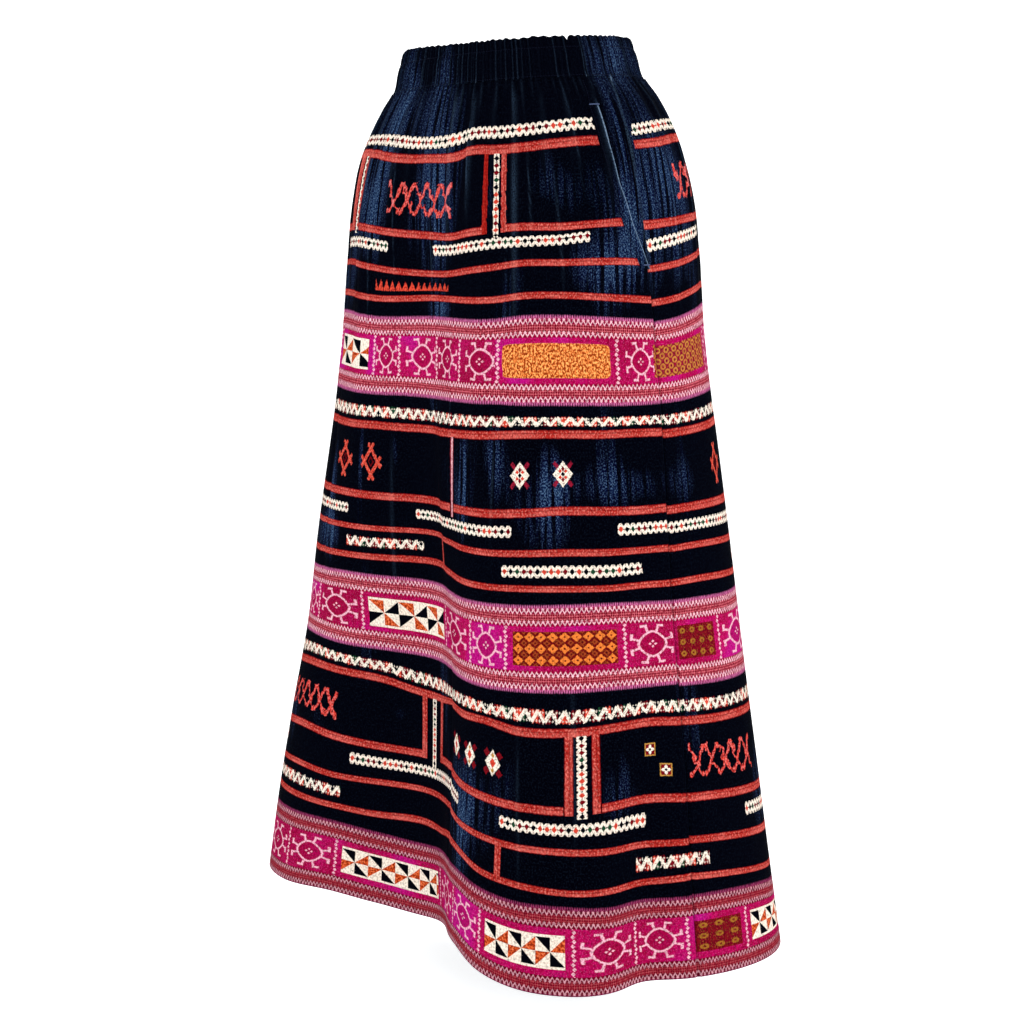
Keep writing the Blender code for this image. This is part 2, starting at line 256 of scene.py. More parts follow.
def relief(turn, drop):
    """How far gathers and creases lift the cloth off its plan, and how pale their crests are painted,
    partly as rubbed dye and partly as painted highlight.
    """
    turn, drop = np.broadcast_arrays(np.asarray(turn, float), np.asarray(drop, float))
    to_seam = np.abs(turn - np.round(turn))
    pleat, pleat_number = folded(turn, PLEATS)
    pleat_share = share_at(pleat_number, PLEAT_SHARES)
    pleat_end = PLEAT_GONE + PLEAT_LONGEST * pleat_share
    pleat_depth = (0.62 + 0.38 * pleat_share) * (1.0 - blend(drop, PLEAT_DIES, pleat_end))
    spread = FAN * np.minimum(drop, FAN_DROP) * (turn - FAN_TURN) / 2.0
    flute, flute_number = folded(turn + spread, FLUTES)
    flute_share = share_at(flute_number, FLUTE_SHARES)
    flute_end = FLUTE_GONE + FLUTE_LONGEST * flute_share
    flute_depth = (0.35 + 0.65 * flute_share) * blend(drop, FLUTE_STARTS, FLUTE_FULL) * (
        1.0 - blend(drop, FLUTE_DIES, flute_end))
    flute_depth = flute_depth * blend(to_seam, FLAT_AT_SEAM, FLUTED_FROM)
    flute = flute**1.5
    out = PLEAT_HEIGHT * pleat_depth * (pleat - 0.5) + FLUTE_HEIGHT * flute_depth * (flute - 0.42)
    # Pale crests of the pleats and flutes: partly rubbed dye, partly painted highlight where they catch
    # light
    wear_and_highlight = 0.8 * pleat_depth * pleat**3 * blend(drop, 0.030, 0.044) + flute_depth * flute**3
    for row in CREASES:
        crease = dict(zip(CREASE_COLUMNS, row))
        share = (drop - crease["starts"]) / (crease["ends"] - crease["starts"])
        place = crease["turn"] + crease["lean"] * share
        strength = np.sin(pi * np.clip(share, 0.0, 1.0))
        bump = np.exp(-((turn - place) / crease["half_width"])**2) * strength
        out = out + crease["height"] * bump
        # A raised crease gets a pale line on top: partly rubbed dye, partly painted highlight
        if crease["height"] > 0:
            from_ridge = (turn - place) / (0.45 * crease["half_width"])
            wear_and_highlight = wear_and_highlight + 0.9 * np.exp(-from_ridge**2) * strength
    return out, CREST_PALE_MOST * np.clip(wear_and_highlight, 0.0, 1.0)


# Pale patches in the dye, partly where it has washed out and partly painted light where the side
# lights fall on the cloth: middle, reach across and down, and how much
FADE_AND_LIGHT_COLUMNS = ("turn", "drop", "half_width", "half_height", "strength")
FADE_AND_LIGHT_SPOTS = (
    (1.080, 0.150, 0.070, 0.110, 0.75), (1.050, 0.020, 0.120, 0.030, 0.50),
    (0.920, 0.220, 0.070, 0.030, 0.65), (0.830, 0.145, 0.080, 0.030, 0.30),
    (0.640, 0.130, 0.050, 0.080, 0.45), (0.950, 0.425, 0.150, 0.020, 0.40),
    (0.735, 0.400, 0.015, 0.030, 0.50), (0.325, 0.430, 0.020, 0.050, 0.85),
    (0.670, 0.740, 0.050, 0.070, 0.85), (0.415, 0.420, 0.007, 0.050, 0.70),
    (0.485, 0.410, 0.009, 0.030, 0.70), (0.822, 0.420, 0.020, 0.035, 0.50),
    (0.336, 0.497, 0.030, 0.020, 0.75), (0.600, 0.258, 0.035, 0.012, 0.85),
    (0.900, 0.720, 0.050, 0.040, 0.40), (0.270, 0.700, 0.080, 0.030, 0.45),
    (0.470, 0.690, 0.030, 0.020, 0.40), (0.965, 0.120, 0.030, 0.080, 0.70),
    (0.035, 0.120, 0.030, 0.080, 0.70), (0.440, 0.060, 0.130, 0.070, 0.75),
    (0.560, 0.170, 0.080, 0.060, 0.50), (0.390, 0.160, 0.060, 0.060, 0.75),
    (0.300, 0.500, 0.060, 0.030, 0.50), (0.220, 0.250, 0.080, 0.060, 0.55),
    (0.676, 0.425, 0.016, 0.045, 0.85), (0.800, 0.460, 0.040, 0.030, 0.35),
    (0.130, 0.120, 0.090, 0.080, 0.50), (0.060, 0.700, 0.080, 0.060, 0.50),
    (1.130, 0.740, 0.060, 0.060, 0.55), (1.300, 0.430, 0.120, 0.030, 0.45),
    (1.380, 0.150, 0.100, 0.080, 0.60), (1.560, 0.700, 0.090, 0.050, 0.50),
    (1.640, 0.120, 0.080, 0.080, 0.55), (1.800, 0.440, 0.100, 0.040, 0.50),
    (1.880, 0.180, 0.060, 0.080, 0.60),
)


def fade_and_light_at(turn, drop):
    """How pale the cloth is painted in patches, from 0 to 1: partly washed-out dye, partly painted light.
    """
    turn, drop = np.broadcast_arrays(np.asarray(turn, float), np.asarray(drop, float))
    total = np.zeros(turn.shape)
    for row in FADE_AND_LIGHT_SPOTS:
        spot = dict(zip(FADE_AND_LIGHT_COLUMNS, row))
        apart = np.abs((turn - spot["turn"] + 1.0) % 2.0 - 1.0) / spot["half_width"]
        below = (drop - spot["drop"]) / spot["half_height"]
        total = total + spot["strength"] * np.exp(-apart**2 - below**2)
    return np.clip(total, 0.0, 1.0)


# The map for baking has the outer face in its upper part and the inner face in a strip below. A
# rim's far side stands this far off its near one
BAKE_LEFT, BAKE_WIDTH = 0.004, 0.992
BAKE_OUTER_TOP, BAKE_OUTER_HEIGHT = 0.996, 0.786
BAKE_INNER_TOP, BAKE_INNER_HEIGHT = 0.19, 0.18
BAKE_RIM = 0.001


def wall(name, turn, drop, outer, inner, around=False, inner_drop=None, worn_and_lit=0.0):
    """A closed wall of cloth between two faces given by how far out they lie.

    Turn, drop, outer and inner are grids, with a row for each level. Around closes the wall to a
    tube, and inner_drop gives the inner face drops of its own. The last argument, from 0 to 1, adds to
    the pale crests and edges: partly where the dye has rubbed off, partly as painted highlight. Returns the
    object.
    Each mesh has the map "cloth" in metres, and the map "OFBake", on which no face covers another.
    """
    turn, drop, outer, inner, inner_drop = np.broadcast_arrays(
        turn, drop, outer, inner, drop if inner_drop is None else inner_drop)
    rows, columns = turn.shape
    points = np.concatenate((cloth_at(turn, drop, outer).reshape(-1, 3),
                             cloth_at(turn, inner_drop, inner).reshape(-1, 3)))
    steps = columns if around else columns - 1
    r, c = np.mgrid[0:rows - 1, 0:steps]
    layer = rows * columns

    def corner(row, column, side):
        """Number of a point of the outer face, side 0, or of the inner face, side 1."""
        return row * columns + column + side * layer

    def place(row, column, side, on_rim=0.0):
        """A point's place on the map for baking."""
        across = BAKE_LEFT + BAKE_WIDTH * column / steps
        down = row / (rows - 1)
        high = np.where(side == 0, BAKE_OUTER_TOP - BAKE_OUTER_HEIGHT * down,
                        BAKE_INNER_TOP - BAKE_INNER_HEIGHT * down)
        return across + on_rim, high + on_rim

    quads, marks = [], []

    def add(corners):
        """Faces from (row, column, side, is on a rim's far side) for each corner."""
        quads.append(np.stack([corner(row, column % columns, side) + 0 * corners[0][0]
                               for row, column, side, _ in corners], axis=-1).reshape(-1, 4))
        marks.append(np.stack([np.stack(np.broadcast_arrays(
            *place(row, column, 0 if rim else side, BAKE_RIM * rim), 0.0 * corners[0][0])[:2], axis=-1)
            for row, column, side, rim in corners], axis=-2).reshape(-1, 4, 2))

    add([(r, c, 0, 0), (r + 1, c, 0, 0), (r + 1, c + 1, 0, 0), (r, c + 1, 0, 0)])
    add([(r, c, 1, 0), (r, c + 1, 1, 0), (r + 1, c + 1, 1, 0), (r + 1, c, 1, 0)])
    here = np.arange(steps)
    beside = here + 1
    top, bottom = 0 * here, 0 * here + rows - 1
    add([(top, here, 0, 0), (top, beside, 0, 0), (top, beside, 1, 1), (top, here, 1, 1)])
    add([(bottom, here, 0, 0), (bottom, here, 1, 1), (bottom, beside, 1, 1), (bottom, beside, 0, 0)])
    if not around:
        high = np.arange(rows - 1)
        low = high + 1
        first, last = 0 * high, 0 * high + columns - 1
        add([(high, first, 0, 0), (high, first, 1, 1), (low, first, 1, 1), (low, first, 0, 0)])
        add([(high, last, 0, 0), (low, last, 0, 0), (low, last, 1, 1), (high, last, 1, 1)])
    quads, marks = np.concatenate(quads), np.concatenate(marks)
    mesh = bpy.data.meshes.new(name)
    mesh.from_pydata(points.tolist(), [], quads.tolist())
    mesh.uv_layers.new(name="cloth")
    mesh.uv_layers.new(name="OFBake")
    flat_turn = np.tile(turn.reshape(-1), 2)
    flat_drop = np.tile(drop.reshape(-1), 2)
    across = flat_turn[quads]
    if around:
        # The faces that close the tube run on past its last turn
        closing = (across < 0.5) & (across.max(axis=1, keepdims=True) > 1.5)
        across = np.where(closing, across + 2.0, across)
    cloth = np.stack((across * CUT_WIDTH, -flat_drop[quads]), axis=-1)
    mesh.uv_layers["cloth"].data.foreach_set("uv", cloth.reshape(-1))
    mesh.uv_layers["OFBake"].data.foreach_set("uv", marks.reshape(-1))
    mesh.uv_layers["OFBake"].active = True
    # Pale crests and edges, and pale patches: partly wear and washed-out dye, partly painted highlight and
    # painted light
    wear_and_highlight = mesh.attributes.new("wear_and_highlight", "FLOAT", "POINT")
    rubbed_and_lit = np.clip(relief(turn, drop)[1] + worn_and_lit, 0.0, 1.0)
    wear_and_highlight.data.foreach_set("value", np.tile(rubbed_and_lit.reshape(-1), 2).astype(np.float32))
    washed_and_lit = mesh.attributes.new("fade_and_light", "FLOAT", "POINT")
    washed_and_lit.data.foreach_set("value", np.tile(fade_and_light_at(turn, drop).reshape(-1), 2).astype(np.float32))
    mesh.shade_smooth()
    mesh.validate()
    piece = bpy.data.objects.new(name, mesh)
    bpy.context.scene.collection.objects.link(piece)
    return piece


def dye(*shades):
    """A colour given by its red, green and blue as seen, from 0 to 255."""
    return tuple(((s / 255 + 0.055) / 1.055)**2.4 if s > 10 else s / 255 / 12.92 for s in shades) + (1.0,)


class Number:
    """A number that changes over the cloth, so that a print can be written as plain sums."""

    def __init__(self, tree, socket):
        self.tree, self.socket = tree, socket

    def join(self, operation, *others, clamp=False):
        node = self.tree.nodes.new("ShaderNodeMath")
        node.operation, node.use_clamp = operation, clamp
        for slot, value in zip(node.inputs, (self, *others)):
            if isinstance(value, Number):
                self.tree.links.new(value.socket, slot)
            else:
                slot.default_value = value
        return Number(self.tree, node.outputs[0])

    def __add__(self, other):
        return self.join("ADD", other)

    def __sub__(self, other):
        return self.join("SUBTRACT", other)

    def __mul__(self, other):
        return self.join("MULTIPLY", other)

    def __abs__(self):
        return self.join("ABSOLUTE")

    def __rsub__(self, other):
        return self.join("MULTIPLY_ADD", -1.0, other)

    __radd__ = __add__

    def least(self, other):
        return self.join("MINIMUM", other)

    def most(self, other):
        return self.join("MAXIMUM", other)

    def floor(self):
        return self.join("FLOOR")

    def fraction(self):
        return self.join("FRACT")

    def power(self, other):
        return self.join("POWER", other)

    def within(self, period):
        """Distance from the middle of the cell it is in, where cells repeat at this period."""
        return (self * (1.0 / period)).fraction() * period - period / 2

    def zigzag(self, period):
        """Rises from 0 to 1 and falls back to 0 over each period."""
        return abs((self * (1.0 / period)).fraction() * 2.0 - 1.0)

    def below(self, limit, soft=0.35):
        """1 where the number is less than the limit, with a soft edge."""
        if isinstance(limit, Number):
            return (limit - self).join("MULTIPLY_ADD", 1.0 / soft, 0.5, clamp=True)
        return self.join("MULTIPLY_ADD", -1.0 / soft, limit / soft + 0.5, clamp=True)

    def above(self, limit, soft=0.35):
        """1 where the number is more than the limit, with a soft edge."""
        return self.join("MULTIPLY_ADD", 1.0 / soft, 0.5 - limit / soft, clamp=True)


def noise(tree, vector, scales, detail=1.0, seed=0.0):
    """Random shades that change over the cloth, at so many a metre across and down."""
    stretch = tree.nodes.new("ShaderNodeMapping")
    stretch.inputs["Scale"].default_value = (*scales, 1.0)
    stretch.inputs["Location"].default_value = (seed, 0.37 * seed, 0.0)
    tree.links.new(vector, stretch.inputs["Vector"])
    shades = tree.nodes.new("ShaderNodeTexNoise")
    shades.noise_dimensions = "2D"
    shades.inputs["Scale"].default_value = 1.0
    shades.inputs["Detail"].default_value = detail
    tree.links.new(stretch.outputs["Vector"], shades.inputs["Vector"])
    return Number(tree, shades.outputs["Fac"])


def mixed(tree, cover, under, over):
    """One colour laid over another where cover is 1."""
    node = tree.nodes.new("ShaderNodeMix")
    node.data_type = "RGBA"
    if isinstance(cover, Number):
        tree.links.new(cover.socket, node.inputs["Factor"])
    else:
        node.inputs["Factor"].default_value = cover
    for slot, colour in ((node.inputs["A"], under), (node.inputs["B"], over)):
        if isinstance(colour, bpy.types.NodeSocket):
            tree.links.new(colour, slot)
        else:
            slot.default_value = colour
    return node.outputs["Result"]


def new_group(name, inputs, outputs):
    """An empty shader node group with named inputs and outputs."""
    tree = bpy.data.node_groups.new(name, "ShaderNodeTree")
    for title, kind in inputs:
        tree.interface.new_socket(title, in_out="INPUT", socket_type="NodeSocket" + kind)
    for title, kind in outputs:
        tree.interface.new_socket(title, in_out="OUTPUT", socket_type="NodeSocket" + kind)
    return tree, tree.nodes.new("NodeGroupInput").outputs, tree.nodes.new("NodeGroupOutput").inputs


# Shades of the indigo, from the densest dye to the pale edge painted on crests, partly as rubbed dye and
# partly as painted highlight
NIGHT_DYE = dye(0, 0, 5)
BLUE_DYE = dye(5, 10, 44)
PALE_STREAK_DYE = dye(30, 52, 84)
SPECK_DYE = dye(78, 104, 134)
PALE_EDGE_DYE = dye(122, 144, 168)


def indigo_group():
    """Indigo dye on slubby cotton: near black where it is dense, with pale streaks and specks.

    The fade input is how pale the cloth is painted in patches: partly washed-out dye, partly painted
    light where the side lights fall. The ridge input is how pale its crests and edges are painted:
    partly dye rubbed off, partly painted highlight, with a clean pale line along the palest edge.
    """
    tree, given, made = new_group(
        "Indigo dye", [("Cloth", "Vector"), ("Ridge", "Float"), ("Fade", "Float")], [("Color", "Color")])
    cloth, wear_and_highlight, washed_and_lit = given["Cloth"], Number(tree, given["Ridge"]), Number(tree, given["Fade"])
    broad = noise(tree, cloth, (13.0, 5.0), detail=1.0, seed=4.0)
    zone = (broad * 2.0 + washed_and_lit * 1.5).join("ADD", -1.36, clamp=True)
    streak = noise(tree, cloth, (145.0, 9.0), detail=2.0, seed=1.0)
    grain = noise(tree, cloth, (650.0, 550.0), detail=1.0, seed=8.0)
    fade_and_light = zone * (streak * 5.0 + washed_and_lit * 0.55).join("ADD", -2.15, clamp=True)
    # Pale streaks, partly washed-out dye and partly painted light from the pale patches
    pale_streaks = fade_and_light * (grain * 1.7 - 0.1)
    colour = mixed(tree, pale_streaks * 2.4, NIGHT_DYE, BLUE_DYE)
    colour = mixed(tree, pale_streaks * 1.5 - 0.46, colour, PALE_STREAK_DYE)
    specks = grain.above(0.60, soft=0.14) * (fade_and_light * 0.90 + 0.03)
    # Pale specks on crests and edges: partly rubbed dye, partly painted highlight
    rubbed_and_lit = wear_and_highlight.power(2.0) * grain.above(0.42, soft=0.3) * (washed_and_lit * 0.62 + 0.20)
    colour = mixed(tree, specks.most(rubbed_and_lit), colour, SPECK_DYE)
    # A clean pale line on the palest crests and edges: partly rubbed dye, partly painted highlight
    pale_edge = wear_and_highlight.above(0.93, soft=0.08) * grain.join("MULTIPLY_ADD", 1.2, 0.10, clamp=True)
    colour = mixed(tree, pale_edge, colour, PALE_EDGE_DYE)
    tree.links.new(colour, made["Color"])
    return tree


def weave_group():
    """The slubby plain weave: uneven threads that cross, as a height from 0 to 1."""
    tree, given, made = new_group("Slubby weave", [("Cloth", "Vector")], [("Height", "Float")])
    across = noise(tree, given["Cloth"], (1500.0, 160.0), detail=0.0, seed=2.0)
    down = noise(tree, given["Cloth"], (160.0, 1500.0), detail=0.0, seed=6.0)
    tree.links.new((across * 0.5 + down * 0.5).socket, made["Height"])
    return tree


INDIGO_DYE, SLUBBY_WEAVE = indigo_group(), weave_group()
DARK_MOTTLE = dye(1, 1, 5)
DRY_ROUGHNESS, THREAD_ROUGHNESS = 0.83, 0.18   # between the threads, and so much more on top of them
WEAVE_STRENGTH, WEAVE_HEIGHT = 0.35, 0.0004
COTTON_SHINE = 0.01


class Print:
    """A cloth material. The print is painted layer by layer over the indigo ground.

    Its x and y are millimetres over the motif, from the map "motif".
    """

    def __init__(self, name, ground=None):
        self.material = bpy.data.materials.new(name)
        self.material.use_nodes = True
        self.tree = self.material.node_tree
        self.nodes, self.links = self.tree.nodes, self.tree.links
        self.shader = self.nodes["Principled BSDF"]
        self.cloth = self.mapped("cloth")
        # The pale crests and patches that the indigo paints: partly wear and fading, partly painted
        # highlight and painted light
        wear_and_highlight = self.nodes.new("ShaderNodeAttribute")
        wear_and_highlight.attribute_name = "wear_and_highlight"
        self.wear_and_highlight = Number(self.tree, wear_and_highlight.outputs["Fac"])
        washed_and_lit = self.nodes.new("ShaderNodeAttribute")
        washed_and_lit.attribute_name = "fade_and_light"
        self.colour = ground or self.placed(INDIGO_DYE, Cloth=self.cloth, Ridge=self.wear_and_highlight.socket,
                                            Fade=washed_and_lit.outputs["Fac"])["Color"]
        split = self.nodes.new("ShaderNodeSeparateXYZ")
        self.links.new(self.mapped("motif"), split.inputs[0])
        self.x, self.y = (Number(self.tree, split.outputs[axis]) for axis in "XY")

    def mapped(self, name):
        node = self.nodes.new("ShaderNodeUVMap")
        node.uv_map = name
        return node.outputs["UV"]

    def placed(self, group, **values):
        """A node group put in this material. Returns its outputs."""
        node = self.nodes.new("ShaderNodeGroup")
        node.node_tree = group
        for title, value in values.items():
            if isinstance(value, bpy.types.NodeSocket):
                self.links.new(value, node.inputs[title])
            else:
                node.inputs[title].default_value = value
        return node.outputs

    def noise(self, across, down, detail=1.0, seed=0.0):
        return noise(self.tree, self.cloth, (across, down), detail, seed)

    def chance(self, *cells):
        """A random share that is the same all over a cell of the print."""
        cell = self.nodes.new("ShaderNodeCombineXYZ")
        for slot, value in zip(cell.inputs, cells):
            self.links.new(value.socket, slot)
        node = self.nodes.new("ShaderNodeTexWhiteNoise")
        node.noise_dimensions = "2D"
        self.links.new(cell.outputs[0], node.inputs["Vector"])
        return Number(self.tree, node.outputs["Value"])

    def choice(self, share, colours):
        """One of several inks, picked by a share from 0 to 1."""
        ramp = self.nodes.new("ShaderNodeValToRGB")
        ramp.color_ramp.interpolation = "CONSTANT"
        for index, colour in enumerate(colours):
            place = index / len(colours)
            stop = ramp.color_ramp.elements[index] if index < 2 else ramp.color_ramp.elements.new(place)
            stop.position, stop.color = place, colour
        self.links.new(share.socket, ramp.inputs[0])
        return ramp.outputs[0]

    def paint(self, cover, ink):
        self.colour = mixed(self.tree, cover, self.colour, ink)

    def finish(self):
        """Joins the dark mottle, the weave and the shine, and gives back the material."""
        height = Number(self.tree, self.placed(SLUBBY_WEAVE, Cloth=self.cloth)["Height"])
        mottle = self.noise(420.0, 380.0, detail=1.0, seed=17.0)
        dark = mottle.join("MULTIPLY_ADD", -1.3, 0.76, clamp=True)
        self.links.new(mixed(self.tree, dark, self.colour, DARK_MOTTLE), self.shader.inputs["Base Color"])
        rough = height * THREAD_ROUGHNESS + DRY_ROUGHNESS
        self.links.new(rough.socket, self.shader.inputs["Roughness"])
        bump = self.nodes.new("ShaderNodeBump")
        bump.inputs["Strength"].default_value = WEAVE_STRENGTH
        bump.inputs["Distance"].default_value = WEAVE_HEIGHT
        self.links.new(height.socket, bump.inputs["Height"])
        self.links.new(bump.outputs[0], self.shader.inputs["Normal"])
        self.shader.inputs["Specular IOR Level"].default_value = COTTON_SHINE
        return self.material


INDIGO_COTTON = Print("Indigo cotton").finish()

# The casing's outer face from the frill's edge down: drop, how far it swells out, and the pleats'
# share. Two stitch rows draw it in, and the elastic fills it out between them
CASING_OUTSIDE = (
    (-0.0012, 0.0004, 1.25), (0.0010, 0.0008, 1.15), (0.0035, 0.0006, 1.00), (0.0062, 0.0001, 0.85),
    (0.0080, -0.0005, 0.62), (0.0087, -0.0006, 0.55), (0.0095, -0.0005, 0.60), (0.0115, -0.0003, 0.72),
    (0.0150, -0.0004, 0.82), (0.0200, -0.0004, 0.88), (0.0250, -0.0006, 0.88), (0.0300, -0.0008, 0.84),
    (0.0335, -0.0009, 0.80), (0.0355, -0.0010, 0.74), (0.0364, -0.0011, 0.70), (0.0372, -0.0010, 0.74),
    (0.0382, -0.0008, 0.85))
UPPER_STITCH_ROW, LOWER_STITCH_ROW = CASING_OUTSIDE[5], CASING_OUTSIDE[14]
CASING_STEPS = 1040        # round the casing
CASING_DEPTH = 0.0026      # from the casing's outer face to its inner one
COTTON = 0.0005            # one layer of the cotton
FRILL_WAVE = 0.0011        # the frill's edge stands up and down by this much
FRILL_WAVES = 47.0         # so many times along the front, and as many along the back
FRILL_RISE = 0.0030        # and stands this much higher towards the wearer's right
RISE_TURN, RISE_REACH = 0.30, 0.20   # turn at which it is highest, and how far that reaches
FRILL_FOOT = 0.008         # below this drop the casing is level
FOLD_RISE = 0.0006         # the fold at the frill's edge stands above its two faces by this much
CASING_JOIN = 0.908        # turn at which the casing's ends meet, and the frill has a nick
NICK_DEPTH, NICK_REACH = 0.0038, 0.0035

FINE_PLEATS, FINE_PLEAT_SHARES = crests(216, seed=5, uneven=0.60)
FINE_PLEAT_HEIGHT = 0.0019


def pleated(turn, pleats):
    """How far the elastic's pleats push the casing out."""
    pleat, number = folded(turn, FINE_PLEATS)
    height = (0.4 + 0.6 * share_at(number, FINE_PLEAT_SHARES)) * FINE_PLEAT_HEIGHT
    return height * pleats * (pleat**0.8 - 0.5)


column = np.linspace(0.0, 2.0, CASING_STEPS, endpoint=False)[None, :]
drop, swell, pleats = (np.array(values)[:, None] for values in zip(*CASING_OUTSIDE))
outside = swell + pleated(column, pleats)
inside = outside - CASING_DEPTH
waves = FRILL_WAVES * column + 0.6 * np.sin(2.0 * pi * 3.0 * column)
frill = FRILL_WAVE * (np.sin(2.0 * pi * waves) * 0.55
                      + share_at(folded(column, PLEATS)[1], PLEAT_SHARES) * 1.1 - 0.8)
frill = frill + NICK_DEPTH * np.exp(-((column - CASING_JOIN) / NICK_REACH)**2)
frill = frill - FRILL_RISE * np.exp(-((column - RISE_TURN) / RISE_REACH)**2)
edge = drop + frill * (1.0 - blend(drop, 0.0, FRILL_FOOT))
over = edge[:1] - FOLD_RISE, (outside[:1] + inside[:1]) / 2
pleat, number = folded(column, FINE_PLEATS)
# Pale crests of the fine pleats: partly rubbed dye, partly painted highlight
on_crests = 0.9 * pleat**3 * share_at(number, FINE_PLEAT_SHARES)
casing = wall("waist_casing", column,
              np.concatenate((edge[::-1], over[0], edge)),
              np.concatenate((inside[::-1], over[1], outside)),
              np.concatenate((inside[::-1] + COTTON, over[1], outside - COTTON)),
              around=True, inner_drop=np.concatenate((edge[::-1], over[0] + COTTON, edge)),
              worn_and_lit=on_crests)
casing.data.materials.append(INDIGO_COTTON)
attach(casing, "root")
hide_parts("waistband")

# Rows of stitches
# Navy cotton thread, sewn by machine through the casing under its frill and along its lower edge.
# Each stitch dips into the cloth at both ends.


def thread_material(name, colour):
    """Twisted sewing thread, with painted shade that makes it a little darker in its grooves."""
    material = bpy.data.materials.new(name)
    material.use_nodes = True
    tree = material.node_tree
    shader = tree.nodes["Principled BSDF"]
    place = tree.nodes.new("ShaderNodeUVMap")
    place.uv_map = "cloth"
    twist = noise(tree, place.outputs["UV"], (900.0, 2600.0), detail=1.0, seed=3.0)
    # Painted shade: the thread's grooves get a darker copy of its colour
    groove_shade = tuple(0.45 * part for part in colour[:3]) + (1.0,)
    tree.links.new(mixed(tree, twist, groove_shade, colour), shader.inputs["Base Color"])
    tree.links.new((twist * 0.2 + 0.6).socket, shader.inputs["Roughness"])
    shader.inputs["Specular IOR Level"].default_value = 0.05
    return material


NAVY_THREAD = thread_material("Navy thread", dye(12, 15, 34))
STITCH_SIDES = 5
# Rings along a stitch: share of its length, thickness and lift, the last two against its radius
STITCH_RINGS = ((0.0, 0.35, -0.25), (0.2, 0.85, 0.35), (0.5, 1.0, 0.6), (0.8, 0.85, 0.35),
                (1.0, 0.35, -0.25))
SIDE_WIDTH = 0.0004        # of one side of the thread, on the map
LOOK_AHEAD = 0.0004        # a stitch follows the line between points this far on and back
LOOK_DOWN = 0.01           # and stands away from a point this far under the line


def stitches(name, turn, drop, out, length, pitch, radius, material):
    """A row of machine stitches along a line on the cloth, as one mesh."""
    line = cloth_at(turn, drop, out)
    ground = cloth_at(turn, drop, np.asarray(out) - LOOK_DOWN)
    walk = np.concatenate(([0.0], np.cumsum(np.linalg.norm(np.diff(line, axis=0), axis=1))))

    def at(distance, values):
        return np.stack([np.interp(distance, walk, values[:, axis]) for axis in range(3)], axis=-1)

    starts = np.arange(0.3 * pitch, walk[-1] - length, pitch)
    points, places = [], []
    for share, width, lift in STITCH_RINGS:
        along = starts + share * length
        middle = at(along, line)
        ahead = at(along + LOOK_AHEAD, line) - at(along - LOOK_AHEAD, line)
        ahead = ahead / np.linalg.norm(ahead, axis=-1, keepdims=True)
        up = middle - at(along, ground)
        up = up - ahead * (up * ahead).sum(axis=-1, keepdims=True)
        up = up / np.linalg.norm(up, axis=-1, keepdims=True)
        side = np.cross(ahead, up)
        for step in range(STITCH_SIDES):
            angle = 2.0 * pi * step / STITCH_SIDES
            raised = middle + up * radius * (lift + width * sin(angle))
            points.append(raised + side * radius * width * cos(angle))
            places.append(np.stack((along, 0.0 * along + SIDE_WIDTH * step), axis=-1))
    count = STITCH_SIDES * len(STITCH_RINGS)
    points = np.stack(points, axis=1).reshape(-1, 3)
    places = np.stack(places, axis=1).reshape(-1, 2)
    one = []
    for ring in range(0, count - STITCH_SIDES, STITCH_SIDES):
        for step in range(STITCH_SIDES):
            beside = (step + 1) % STITCH_SIDES
            one.append((ring + step, ring + beside,
                        ring + STITCH_SIDES + beside, ring + STITCH_SIDES + step))
    one.append(tuple(reversed(range(STITCH_SIDES))))
    one.append(tuple(range(count - STITCH_SIDES, count)))
    faces = [tuple(first + number for number in face)
             for first in range(0, len(points), count) for face in one]
    mesh = bpy.data.meshes.new(name)
    mesh.from_pydata(points.tolist(), [], faces)
    corners = np.array([number for face in faces for number in face])
    mesh.uv_layers.new(name="cloth").data.foreach_set("uv", places[corners].reshape(-1))
    mesh.shade_smooth()
    mesh.materials.append(material)
    row = bpy.data.objects.new(name, mesh)
    bpy.context.scene.collection.objects.link(row)
    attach(row, "root")
    return row


CASING_STITCH_LIFT = 0.00015
around = np.linspace(0.0, 2.0, 2600)
for place, (drop, swell, pleats) in (("upper", UPPER_STITCH_ROW), ("lower", LOWER_STITCH_ROW)):
    stitches(f"casing_stitches_{place}", around, 0.0 * around + drop,
                                swell + pleated(around, pleats) + CASING_STITCH_LIFT,
                                length=0.0022, pitch=0.0029, radius=0.00032, material=NAVY_THREAD)

# The print
# Batik and printed bands on the indigo cotton, the same three times down the skirt: a white
# strip of small flowers, thin salmon lines with red figures between them, short white strips, and a
# broad magenta band with stars, pinwheels and blocks of little gold flowers.

SALMON = dye(192, 80, 72)
PALE_SALMON = dye(222, 122, 108)
RED_ORANGE = dye(162, 36, 30)
DEEP_RED = dye(104, 8, 10)
CREAM = dye(240, 226, 208)
PALE_PINK = dye(234, 176, 190)
MAGENTA = dye(186, 9, 92)
VIOLET = dye(172, 12, 118)
CRIMSON = dye(142, 4, 50)
BLACK = dye(3, 3, 9)
ORANGE = dye(200, 76, 30)
GOLD = dye(226, 120, 50)
GREEN = dye(24, 62, 38)
OCHRE = dye(180, 132, 60)
RED = dye(202, 62, 44)
DARK_RED = dye(112, 12, 22)


